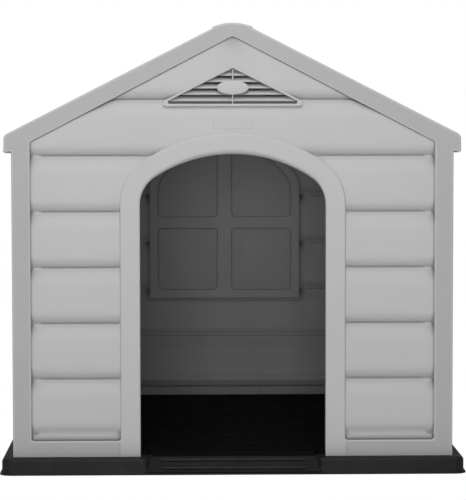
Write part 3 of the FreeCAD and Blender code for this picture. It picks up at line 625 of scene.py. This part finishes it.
# ---- Gable walls ----
def gable_corners(doorway=True):
    """Outer edge of a gable wall; the front one has the doorway cut up from its foot."""
    right = [(half_width, ledge_z, 0.0),
             (half_width, lip_foot_z + lip_slant + lip_corner, lip_corner),
             (eave_x, lip_foot_z, lip_round),
             (eave_x, roof_top(eave_x), eave_corner),
             (cap_half, roof_top(cap_half), 0.0),
             (cap_half, roof_top(cap_half) + cap_step, 0.0)]
    tip_z = cap_top_z - cap_radius + cap_radius / cos(asin(cap_half / cap_radius))
    corners = right + [(0.0, tip_z, cap_radius)] + mirrored(right)
    if doorway:
        foot = [(door_half, ledge_z, 0.0), (trim_half, ledge_z, 0.0)]
        corners += mirrored(foot) + arch_corners(door)[::-1] + foot
    return corners


def panel_corners():
    """Edge of the plank panel inside the posts, the foot rail and the gable band."""
    side = half_width - post_width
    right = [(side, rail_z, panel_corner), (side, below_roof(side, fascia_width), panel_corner)]
    return right + [(0.0, gable_peak()[1], ridge_corner)] + mirrored(right)


def vent_corners(grow=0.0):
    half = vent_width / 2.0 + grow * (1.0 + cos(slope)) / sin(slope)
    return triangle(half, vent_z - grow, vent_corner + grow)


def vent_hole():
    return loop_through(vent_corners(vent_sleeve + fit_gap), trim_step)[::-1]


def gable_rounding(outer):
    """Rounding along a gable wall's edge: sharp at the foot, soft over the doorway."""
    rounding = np.full(len(outer), outer_round)
    rounding[outer[:, 1] < ledge_z + foot_round] = foot_round
    doorway = np.abs(outer[:, 0]) < door_half + trim_margin
    doorway &= outer[:, 1] < ledge_z + door["top"] + trim_margin
    share = np.clip((outer[:, 1] - ledge_z - door["spring"]) / (door["top"] - door["spring"]), 0.0, 1.0)
    return np.where(doorway, rounding + (arch_round - outer_round) * share, rounding)


def gable_frame(form, doorway):
    """Outer edge of a gable wall, up to the ring of its frame face."""
    outer = loop_through(gable_corners(doorway), gable_step)
    return form.rounded_edge(outer, frame_depth, gable_rounding(outer), 5)


def planks_by_trim(form, panel, on_trim):
    """Plank panel of the front wall; its edge is softer beside the door trim."""
    rings = plank_panel(form, [panel], [on_trim], [vent_hole()], gable_groove,
                        rise_of=crown_rise, extra=close_points())
    soft = on_trim.astype(float)
    for _ in range(4):
        soft = (np.roll(soft, 1) + soft + np.roll(soft, -1)) / 3.0
    planks = np.array([form.depths[index] for index in rings[0]])
    rounding = np.minimum(inner_round + (trim_round - inner_round) * soft, largest_round * planks)
    return form.rounded_edge(panel[::-1], rings[0][::-1], rounding[::-1])


# Painted shade on the edge of the door trim, strongest at its foot and fading upwards.
def paint_trim_foot_shade(form, ring):
    strength, reach = trim_foot_painted_shade
    for index in ring:
        u, v = form.flat[index]
        if abs(u) < trim_half + trim_margin:
            form.painted_shades[index] = strength * exp((ledge_z - v) / reach)


def front_wall():
    form = Surface(facing(0.0, half_depth))
    frame_ring = gable_frame(form, True)
    foot = [(trim_half, rail_z, panel_corner)]
    arch = arch_corners(door, door_trim)
    panel = loop_through(panel_corners() + mirrored(foot) + arch[::-1] + foot, panel_step)
    on_trim = (np.abs(panel[:, 0]) < trim_half + trim_margin) & (panel[:, 1] > rail_z + panel_corner)
    on_trim &= panel[:, 1] < ledge_z + door["top"] + door_trim + trim_margin
    panel_ring = planks_by_trim(form, panel, on_trim)
    paint_trim_foot_shade(form, frame_ring)
    edge = [(door_half, ledge_z, 0.0), (trim_half, ledge_z, 0.0)]
    trim = loop_through(edge + arch + mirrored(edge), trim_step)

    def nearest(ring, point):
        return ring[np.argmin(norm(form.loop(ring) - point, axis=1))]

    seams = [(nearest(frame_ring, (x, ledge_z)), nearest(panel_ring, (x, rail_z)))
             for x in (-trim_half, trim_half)]
    form.fill([frame_ring, panel_ring], seams=seams,
                 finish_of=lambda centres: 1 - inside_loops(centres, [trim]))
    return mesh("front_wall_moulding", form)


def pane_loops():
    """The four panes of the blind window, each walked with the frame on the left."""
    half = window["width"] / 2.0
    near = mullion_width / 2.0
    transom_z = ledge_z + transom_foot
    upper_foot = transom_z + transom_height
    foot = ledge_z + window["foot"]
    lower = [(near, foot), (half, foot), (half, transom_z), (near, transom_z)]
    lower = [(x, z, pane_corner) for x, z in lower]
    arch = loop_through([(half, foot, 0.0)] + arch_corners(window) + [(-half, foot, 0.0)], pane_step)
    crown = arch[arch[:, 1] > ledge_z + window["spring"]][::-1]
    head_z = np.interp(near, crown[:, 0], crown[:, 1])
    shoulder = arch[(arch[:, 0] > near + 2.0 * pane_corner) & (arch[:, 1] > upper_foot + 2.0 * pane_corner)]
    upper = [(near, upper_foot, pane_corner), (half, upper_foot, pane_corner)]
    upper += [(x, z, 0.0) for x, z in shoulder] + [(near, head_z, pane_corner)]
    right = [loop_through(corners, rim_step) for corners in (lower, upper)]
    left = [(loop * (-1.0, 1.0))[::-1] for loop in right]
    return [loop[::-1] for loop in right + left]


def all_hard(*loops):
    return [np.zeros(len(loop), bool) for loop in loops]


def back_wall():
    form = Surface(facing(pi, half_depth))
    frame_ring = gable_frame(form, False)
    panel = loop_through(panel_corners(), panel_step)
    half = window["width"] / 2.0 + window_trim
    foot = [(half, ledge_z + window["foot"] - window_trim, panel_corner)]
    trim = loop_through(foot + arch_corners(window, window_trim) + mirrored(foot), panel_step)
    loops = [panel, trim[::-1]]
    rings = plank_panel(form, loops, all_hard(*loops), [vent_hole()], gable_groove, extra=close_points())
    panel_ring = form.rounded_edge(panel[::-1], rings[0][::-1], inner_round, 3)
    surround = [form.rounded_edge(trim, rings[1][::-1], inner_round, 3)]
    for loop in pane_loops():
        base = form.add(loop, pane_recess)
        surround.append(form.rounded_edge(loop, base, inner_round, 3))
        inner = form.add(moved_in(loop[::-1], support), pane_recess)
        form.bridge(base[::-1], inner)
        form.fill([inner])
    form.fill([frame_ring, panel_ring], finish=1)
    form.fill(surround)
    return mesh("back_wall_moulding", form)


# ---- Side walls ----
def side_wall(name, turn):
    form = Surface(facing(turn, half_width))
    outer = loop_through(rectangle(side_half, ledge_z, side_top_z))
    frame_ring = form.rounded_edge(outer, frame_depth, outer_round)
    top = side_top_z - side_top_rail
    panel = loop_through(rectangle(side_half - post_width, rail_z, top, panel_corner), panel_step)
    top_groove = int((top - roll_over / 2.0 - first_z) / plank_pitch)
    rings = plank_panel(form, [panel], all_hard(panel), [], top_groove)
    panel_ring = form.rounded_edge(panel[::-1], rings[0][::-1], inner_round, 3)
    form.fill([frame_ring, panel_ring], finish=1)
    return mesh(name, form)


# ---- Gable vents and the blank plate ----
def vent_half_at(z):
    """Half width of the vent's opening at a height."""
    return vent_width / 2.0 - (z - vent_z) / tan(slope)


def vent_frame(form):
    """Raised rim round the opening, and the wall of the sleeve inside it."""
    half = vent_width / 2.0 + vent_rim / sin(slope) + vent_sill / tan(slope)
    outer = loop_through(triangle(half, vent_z - vent_sill, vent_rim_corner), rim_step)
    outer_ring = form.rounded_edge(outer, 2.0 * plank_recess, vent_round, 4, vent_face)
    opening = loop_through(vent_corners(), rim_step)[::-1]
    inner_ring = form.rounded_edge(opening, frame_depth, vent_round, 3, vent_face)
    form.fill([outer_ring, inner_ring])


def slat_shade(depths):
    """Share of the light that a slat loses towards its back."""
    return slat_painted_shade * np.clip((depths - slat_front) / slat_reach, 0.0, 1.0)


def vent_slat(form, middle_z):
    """Sloping slat, its ends in the slopes of the opening."""
    low_z = middle_z - (slat_fall + slat_thickness) / 2.0
    high_z = low_z + slat_fall
    edge = slat_thickness * slat_edge
    section = loop_through([(slat_front, low_z, edge), (slat_back, high_z, edge),
                            (slat_back, high_z + slat_thickness, edge),
                            (slat_front, low_z + slat_thickness, edge)])
    ends = []
    for side in (-1.0, 1.0):
        flat = [(side * (vent_half_at(z) + vent_sleeve / 2.0), z) for _, z in section]
        # painted shade darkens each slat towards its back
        ends.append(form.add(flat, section[:, 0], slat_shade(section[:, 0])))
    form.bridge(ends[0], ends[1])


def vent_middle(form):
    """Upright bar behind the badge."""
    half = vent_bar / 2.0
    section = loop_through(rectangle(half, slat_front - bar_proud, slat_back, half * 0.8, 0.0))
    rings = [form.add([(x, z) for x, _ in section], section[:, 1])
             for z in (vent_z - vent_sleeve, vent_z + vent_rise - vent_bar)]
    form.bridge(rings[0], rings[1])


def vent_badge(form):
    """Blank domed oval."""
    turns = [tau * step / 48 for step in range(48)]
    oval = np.array([(cos(turn) * badge_width, sin(turn) * badge_height) for turn in turns]) / 2.0
    foot = (1.0, -slat_front + vent_face - slat_thickness)
    rings = [form.add(oval * share + (0.0, badge_z), vent_face - rise)
             for share, rise in (foot,) + badge_dome]
    for lower, upper in zip(rings, rings[1:]):
        form.bridge(lower, upper)
    form.fill([rings[-1]])


def vent_web(form, low_z, high_z):
    """Upright web behind the slats, at the foot or the narrow top of the opening."""
    low_half = vent_half_at(low_z) + vent_sleeve / 2.0
    high_half = vent_half_at(high_z) + vent_sleeve / 2.0
    loop = loop_through([(-low_half, low_z, 0.0), (low_half, low_z, 0.0),
                         (high_half, high_z, 0.0), (-high_half, high_z, 0.0)])
    # the web's front carries painted shade
    form.fill([form.add(loop, slat_back - slat_thickness, slat_painted_shade)])
    form.fill([form.add(loop, slat_back)[::-1]])


def gable_vent(name, turn):
    form = Surface(facing(turn, half_depth))
    vent_frame(form)
    count = int((vent_rise - slat_lift - (slat_fall + slat_thickness) / 2.0) / slat_pitch) + 1
    slats = [vent_z + slat_lift + slat_pitch * index for index in range(count)]
    for middle_z in slats:
        vent_slat(form, middle_z)
    vent_web(form, vent_z - vent_sleeve / 2.0, slats[0])
    vent_web(form, slats[-1], vent_z + vent_rise)
    vent_middle(form)
    vent_badge(form)
    return mesh(name, form)


def blank_plate():
    """Bare raised field between the vent and the doorway."""
    form = Surface(facing(0.0, half_depth))
    loop = loop_through(rectangle(plate_half, plate_z, plate_z + plate_height, plate_corner))
    form.pad(loop, plank_recess + plate_sunk, plank_recess - plate_proud, plate_round)
    return mesh("front_blank_plate", form)


# ---- Roof ----
def roof_place(turn):
    """Placer for a roof panel: u along the eave, v up from the lip's foot round the eave corner."""
    tangent = eave_corner * tan((pi / 2.0 - slope) / 2.0)
    upright = lip_height - tangent
    sweep = eave_corner * (pi / 2.0 - slope)

    def place(u, v, depth):
        if v <= upright:
            x, z, lean = eave_x, lip_foot_z + v, 0.0
        elif v <= upright + sweep:
            lean = (v - upright) / eave_corner
            x = eave_x - eave_corner * (1.0 - cos(lean))
            z = lip_foot_z + upright + eave_corner * sin(lean)
        else:
            lean = pi / 2.0 - slope
            along = v - upright - sweep + tangent
            x = eave_x - along * cos(slope)
            z = roof_top(eave_x) + along * sin(slope)
        x -= depth * cos(lean)
        z -= depth * sin(lean)
        return (*turned((x, u), turn), z)
    return place, upright + sweep - tangent


def roof_panel(name, turn):
    place, bend = roof_place(turn)
    form = Surface(place)
    run = (eave_x - cap_half - fit_gap) / cos(slope)
    outer = loop_through(rectangle(side_half, 0.0, bend + run, roof_round, 0.0), roof_step)
    ring = form.rounded_edge(outer, roof_edge, roof_round, 3)
    field = run - skin * tan(slope) - 2.0 * roof_border
    grooves = [bend + roof_border + field * index / roof_boards for index in range(roof_boards + 1)]

    def depth_of(flat):
        near = side_half - np.abs(flat[:, 0])
        drop = np.zeros(len(flat))
        for groove in grooves:
            up = flat[:, 1] - groove
            drop = np.maximum(drop, np.where(up >= 0.0, rolled(up, roof_under, roof_groove),
                                             rolled(-up, roof_over, roof_groove)))
        return drop * eased(np.clip((near - board_end) / board_fade, 0.0, 1.0))

    rows = [bend + run * step / 24.0 for step in range(24)]
    rows += [bend * step / 10.0 for step in range(11)]
    for groove in grooves:
        rows += [groove - roof_over * (step / 6.0) ** 2 for step in range(7)]
        rows += [groove + roof_under * (step / 5.0) ** 2 for step in range(1, 6)]
    form.relief([ring], [], depth_of, sorted(set(rows)), roof_column)
    return mesh(name, form)


def ridge_cap():
    """Crowned strip over the ridge, with its long edges a step above the roof."""
    reach = cap_radius * asin(cap_half / cap_radius)

    def place(u, v, depth):
        angle = v / cap_radius
        out = cap_radius - depth
        return -out * sin(angle), u, cap_top_z - cap_radius + out * cos(angle)

    form = Surface(place)
    outer = loop_through(rectangle(side_half, -reach, reach), gable_step)
    ring = form.rounded_edge(outer, cap_edge, cap_round, 3)
    rows = [reach * (step / 10.0 - 1.0) for step in range(1, 20)]
    form.relief([ring], [], lambda flat: np.zeros(len(flat)), rows, cap_column)
    return mesh("ridge_cap_moulding", form)


# ---- Floor tray ----
def plan_ring(inset, radius):
    """Rounded rectangle seen from above, an inset within the flange; all have as many points."""
    side_x = tray_half_x - inset - radius
    side_y = tray_half_y - inset - radius
    near = [step * 20.0 for step in range(7)] + [ramp_side + step * 2.5 for step in range(21)]
    far = [near[-1] + (side_x - near[-1]) * step / 5.0 for step in range(1, 6)]
    right = near + far
    points = [(x, -side_y - radius) for x in [-x for x in reversed(right)] + right[1:]]
    corners = ((side_x, -side_y), (side_x, side_y), (-side_x, side_y), (-side_x, -side_y))
    for quadrant, (x, y) in enumerate(corners):
        for step in range(0 if quadrant else 1, 9 if quadrant < 3 else 8):
            angle = pi / 2.0 * (quadrant - 1.0 + step / 8.0)
            points.append((x + radius * cos(angle), y + radius * sin(angle)))
    return np.array(points)


def quarter(inset, height, radius, count, outward=True):
    """Points (inset, height) round a rounded edge, or round a concave one."""
    angles = [pi / 2.0 * step / count for step in range(count + 1)]
    turns = [(radius * (1.0 - cos(angle)), radius * sin(angle)) for angle in angles]
    return [(inset + (back if outward else up), height + (up if outward else back)) for back, up in turns]


def tray_section():
    """(inset, height) from the foot of the flange over the ledge to the raised floor."""
    section = [(0.0, 0.0)]
    section += quarter(0.0, flange_height - flange_round, flange_round, 3)
    section += quarter(flange_proud - flange_round, flange_height, flange_round, 2, False)
    section += quarter(flange_proud, ledge_z - ledge_round, ledge_round, 6)
    section += [(flange_proud + ledge_round + 3.0, ledge_z), (floor_inset - 0.5, ledge_z)]
    return section + quarter(floor_inset, floor_z - floor_round, floor_round, 4)


def ramp_section(count):
    """(y, height) of as many points up the threshold ramp and over the sill to the floor."""
    last = count - sill_points
    steps = [ramp_foot + (ramp_head - ramp_foot) * step / last for step in range(last + 1)]
    steps += quarter(ramp_head[0], ramp_head[1] + 1.0, sill_drop - 1.0, 4)
    steps += [(-half_depth + inwards, floor_z) for inwards in (frame_depth / 2.0, frame_depth + 6.0)]
    return steps[:count]


def base_tray():
    form = Surface(lambda x, y, depth: (x, y, -depth))
    section = tray_section()
    flange_steps = 6
    ramp = ramp_section(len(section) - flange_steps)
    last = None
    for index, (inset, height) in enumerate(section):
        radius = max(tray_corner - inset, 8.0)
        ring = plan_ring(inset, radius)
        heights = np.full(len(ring), height)
        on_ramp = np.zeros(len(ring), bool)
        if index >= flange_steps:
            y, z = ramp[index - flange_steps]
            edge = ramp_half + ramp_flare * (1.0 - min(1.0, z / floor_z))
            share = np.clip((edge + ramp_fade / 2.0 - np.abs(ring[:, 0])) / ramp_fade, 0.0, 1.0)
            share = np.where(ring[:, 1] < 0.0, eased(share), 0.0)
            ring[:, 1] += (y - ring[:, 1]) * share
            heights += (z - heights) * share
            on_ramp = share > 0.5
        points = form.add(ring, -heights)
        if last is not None:
            # finishes: 0 the black plastic; 1 its darker copy with painted shade for the floor inside the
            # cabin, taken by the rings above the ledge and the ramp's top past the sill; 2 its darker copy
            # with painted shade for the ramp
            black = on_ramp & (heights > sill_painted_shade_z)
            form.bridge(last, points, np.where((height > ledge_z + 0.5) | black, 1, 2 * on_ramp))
        last = points
    # the raised floor takes the darker copy with painted shade
    form.fill([last], finish=1)
    return mesh("base_tray_moulding", form, *ramp_treads())


def tray_rib_outline(floor_edge, low_end, high_end):
    """Outline of a rib below the ledge and the raised floor."""
    under_ledge = ledge_z - skin
    under_floor = floor_z - skin
    top = [(floor_edge, under_ledge, 0.0), (floor_edge, under_floor, 0.0)]
    return loop_through([(low_end, 0.0, rib_corner), (high_end, 0.0, rib_corner),
                         (high_end, under_ledge, 0.0)] + top + mirrored(top)
                        + [(low_end, under_ledge, 0.0)])


def tray_ribs():
    """Grid of stiffening ribs under the tray; those behind the ramp stop short of it."""
    inside_x = tray_half_x - flange_proud - skin
    inside_y = tray_half_y - flange_proud - skin
    floor_x = tray_half_x - floor_inset - floor_round
    floor_y = tray_half_y - floor_inset - floor_round
    ribs = []
    for index in range(1, tray_cells):
        share = 2.0 * index / tray_cells - 1.0
        behind_ramp = abs(inside_x * share) < ramp_half + ramp_flare
        front = -half_depth - fit_gap if behind_ramp else -inside_y
        for outline, place in (
                (tray_rib_outline(floor_y, front, inside_y),
                 lambda u, v, depth, x=inside_x * share: (x - depth, u, v)),
                (tray_rib_outline(floor_x, -inside_x, inside_x),
                 lambda u, v, depth, y=inside_y * share: (u, y + depth, v))):
            form = Surface(place)
            near = form.add(outline, -tray_rib / 2.0)
            far = form.add(outline, tray_rib / 2.0)
            form.bridge(far, near)
            form.fill([near])
            form.fill([far[::-1]])
            ribs.append(form)
    return mesh("base_tray_ribs", *ribs)


def ramp_treads():
    """Rounded ribs across the ramp."""
    up = towards(ramp_foot, ramp_head)
    out = np.array([-up[1], up[0]])
    treads = []
    for share in tread_places:
        middle = ramp_head + (ramp_foot - ramp_head) * share

        def place(u, v, depth, middle=middle):
            y, z = middle + up * v - out * depth
            return u, y, z
        form = Surface(place)
        half = tread_width / 2.0
        loop = loop_through(rectangle(tread_length / 2.0, -half, half, tread_corner))
        form.pad(loop, tread_sunk, -tread_height, tread_round)
        treads.append(form)
    return treads


# ---- Materials ----
def new_material(name):
    material = bpy.data.materials.new(name)
    material.use_nodes = True
    return material, material.node_tree, material.node_tree.nodes["Principled BSDF"]


def tune(node, values):
    """Set inputs of a node by their names."""
    for name, value in values.items():
        node.inputs[name].default_value = value


def shaded(tree, value, low, high, target, start=0.3, end=0.7):
    """Lead a grey to a socket: low where the value is at start, high where it is at end."""
    ramp = tree.nodes.new("ShaderNodeValToRGB")
    for element, tone, position in zip(ramp.color_ramp.elements, (low, high), (start, end)):
        element.color = (tone, tone, tone, 1.0)
        element.position = position
    tree.links.new(value, ramp.inputs["Fac"])
    tree.links.new(ramp.outputs["Color"], target)


def noise(tree, scale, detail, roughness=0.5):
    """Noise in the object's own space."""
    place = tree.nodes.new("ShaderNodeTexCoord")
    texture = tree.nodes.new("ShaderNodeTexNoise")
    tune(texture, {"Scale": scale, "Detail": detail, "Roughness": roughness})
    tree.links.new(place.outputs["Object"], texture.inputs["Vector"])
    return texture.outputs["Fac"]


def moulded_plastic(name, tone, spread, roughness, specular, grain):
    """Grained plastic with faint clouding of its tone and gloss, darker where the mesh carries painted
    shade.
    """
    material, tree, shader = new_material(name)
    tint = tree.nodes.new("ShaderNodeMix")
    tint.data_type = "RGBA"
    tint.blend_type = "MULTIPLY"
    tint.inputs[0].default_value = 1.0
    cloud = noise(tree, cloud_scale, 5.0, 0.6)
    shaded(tree, cloud, tone * (1.0 - spread), tone * (1.0 + spread), tint.inputs[6])
    # painted shade: the per-point attribute darkens the colour in corners, creases and the backs of the
    # slats
    painted_shade = tree.nodes.new("ShaderNodeAttribute")
    painted_shade.attribute_name = "painted_shade"
    shaded(tree, painted_shade.outputs["Fac"], 1.0, 0.0, tint.inputs[7], 0.0, 1.0)
    tree.links.new(tint.outputs[2], shader.inputs["Base Color"])
    wear = noise(tree, wear_scale, 3.0)
    shaded(tree, wear, roughness - wear_spread, roughness + wear_spread, shader.inputs["Roughness"])
    tune(shader, {"Specular IOR Level": specular})
    bump = tree.nodes.new("ShaderNodeBump")
    tune(bump, {"Strength": grain, "Distance": grain_height})
    tree.links.new(noise(tree, grain_scale, 2.0, 0.6), bump.inputs["Height"])
    tree.links.new(bump.outputs["Normal"], shader.inputs["Normal"])
    return material


def screw_metal():
    """Plated steel with dulled patches."""
    material, tree, shader = new_material("screw_steel")
    tune(shader, {"Metallic": 1.0})
    patches = noise(tree, patch_scale, 4.0)
    shaded(tree, patches, 0.42, 0.6, shader.inputs["Base Color"])
    shaded(tree, patches, 0.25, 0.42, shader.inputs["Roughness"])
    return material


cloud_scale = 5.0  # noise features in a metre
wear_scale = 38.0
grain_scale = 1400.0
patch_scale = 300.0
wear_spread = 0.06
grain_height = 0.0003
grey = moulded_plastic("grey_plastic", 0.40, 0.015, 0.55, 0.35, 0.25)
frame_grey = moulded_plastic("grey_frame_plastic", 0.335, 0.015, 0.62, 0.3, 0.3)
black = moulded_plastic("black_plastic", 0.011, 0.12, 0.5, 0.14, 0.3)
# Darker copies of the black plastic, painted shade: one for the floor inside the cabin, which lies in
# shade, one for the threshold ramp, which faces up into the light.
floor_black_painted_shade = moulded_plastic("black_plastic_floor_painted_shade", 0.0025, 0.15, 0.65, 0.03, 0.4)
ramp_black_painted_shade = moulded_plastic("black_plastic_ramp_painted_shade", 0.007, 0.12, 0.55, 0.09, 0.3)
steel = screw_metal()


# ---- Build ----
grey_slot = "grey_plastic"
stands_for(thickened(front_wall()), "front_wall", grey_slot, grey, frame_grey)
stands_for(thickened(back_wall()), "back_wall", grey_slot, grey, frame_grey)
for side, turn in (("left", -pi / 2.0), ("right", pi / 2.0)):
    wall = thickened(side_wall(f"{side}_wall_moulding", turn))
    stands_for(wall, f"{side}_wall", grey_slot, grey, frame_grey)
for side, turn in (("right", 0.0), ("left", pi)):
    roof = thickened(roof_panel(f"{side}_roof_moulding", turn))
    stands_for(roof, f"{side}_roof_panel", grey_slot, grey)
for end, turn in (("front", 0.0), ("back", pi)):
    stands_for(gable_vent(f"{end}_vent_grille", turn), f"{end}_gable_vent", grey_slot, grey)
stands_for(ridge_cap(), "ridge_cap", grey_slot, grey)
stands_for(thickened(base_tray()), "base_tray", "black_plastic", black, floor_black_painted_shade, ramp_black_painted_shade)
stands_for(tray_ribs(), "base_tray", "black_plastic", black)
stands_for(blank_plate(), None, grey_slot, grey)
for name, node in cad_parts.items():
    finish = black if name == "base_tray" else steel if "screws" in name else grey
    node.data.materials.clear()
    node.data.materials.append(finish)


# ---- Stage ----
white = (1.0, 1.0, 1.0, 1.0)
paper_tone = (0.4, 0.4, 0.4, 1.0)
paper_roughness = 0.9
world_light = 0.29


def seen_white(tree, lighting, kind, output):
    """Plain white to the camera, and the lighting shader for the light thrown on the object."""
    plain = tree.nodes.new(kind)
    tune(plain, {"Color": white, "Strength": 1.0})
    path = tree.nodes.new("ShaderNodeLightPath")
    mix = tree.nodes.new("ShaderNodeMixShader")
    for index, source in enumerate((path.outputs["Is Camera Ray"], lighting.outputs[0], plain.outputs[0])):
        tree.links.new(source, mix.inputs[index])
    tree.links.new(mix.outputs["Shader"], tree.nodes[output].inputs["Surface"])


def floor(name, half, z, glow):
    """Sheet of paper that the camera sees white."""
    material, tree, paper = new_material(name)
    tune(paper, {"Base Color": paper_tone, "Roughness": paper_roughness, "Specular IOR Level": 0.0,
                 "Emission Color": white, "Emission Strength": glow})
    seen_white(tree, paper, "ShaderNodeEmission", "Material Output")
    data = bpy.data.meshes.new(name)
    data.from_pydata([(x, y, z) for x, y, _ in rectangle(half, -half, half)], [], [(0, 1, 2, 3)])
    data.materials.append(material)
    piece = placed(name, data)


def studio():
    """White backdrop to the camera, and a weaker even light on the object."""
    world = bpy.data.worlds.new("studio")
    world.use_nodes = True
    ambient = world.node_tree.nodes["Background"]
    tune(ambient, {"Color": white, "Strength": world_light})
    seen_white(world.node_tree, ambient, "ShaderNodeBackground", "World Output")
    bpy.context.scene.world = world


def area_light(name, power, size, location, towards_point):
    lamp = bpy.data.lights.new(name, "AREA")
    lamp.energy = power
    lamp.size = size
    light = placed(name, lamp)
    light.location = location
    light.rotation_euler = (towards_point - location).to_track_quat("-Z", "Y").to_euler()


def camera():
    data = bpy.data.cameras.new("camera")
    data.lens = camera_lens
    data.sensor_width = 36.0
    data.clip_end = 100.0
    eye = placed("camera", data)
    turn, tilt, roll = [Matrix.Rotation(radians(angle), 4, axis) for angle, axis in camera_turns]
    eye.matrix_world = Matrix.Translation(camera_place) @ turn @ tilt @ roll
    bpy.context.scene.camera = eye


# Metres from here on.
key_distance = 2.4
key_rise = radians(55.0)
key_turn = radians(-8.0)  # towards the left
key_target = Vector((0.0, -half_depth * MM, 0.4))
key_place = key_target + key_distance * Vector((sin(key_turn) * cos(key_rise),
                                                -cos(key_turn) * cos(key_rise),
                                                sin(key_rise)))
fill_place = Vector((-0.25, -4.0, 0.55))  # reaches the back of the cabin through the doorway
fill_target = Vector((-0.25, 0.0, 0.55))
camera_lens = 164.16
camera_place = Vector((-0.0915, -4.5335, 0.6669))
camera_turns = ((-1.274, "Z"), (90.0 - 3.616, "X"), (-0.08, "Z"))
floor("floor", 1.2, 0.0, 0.375)
floor("floor_beyond", 2.4, -0.002, 0.96)
studio()
area_light("key", 47.3, 1.7, key_place, key_target)
area_light("fill", 27.0, 1.2, fill_place, fill_target)
camera()
bpy.context.scene.view_settings.view_transform = "Standard"
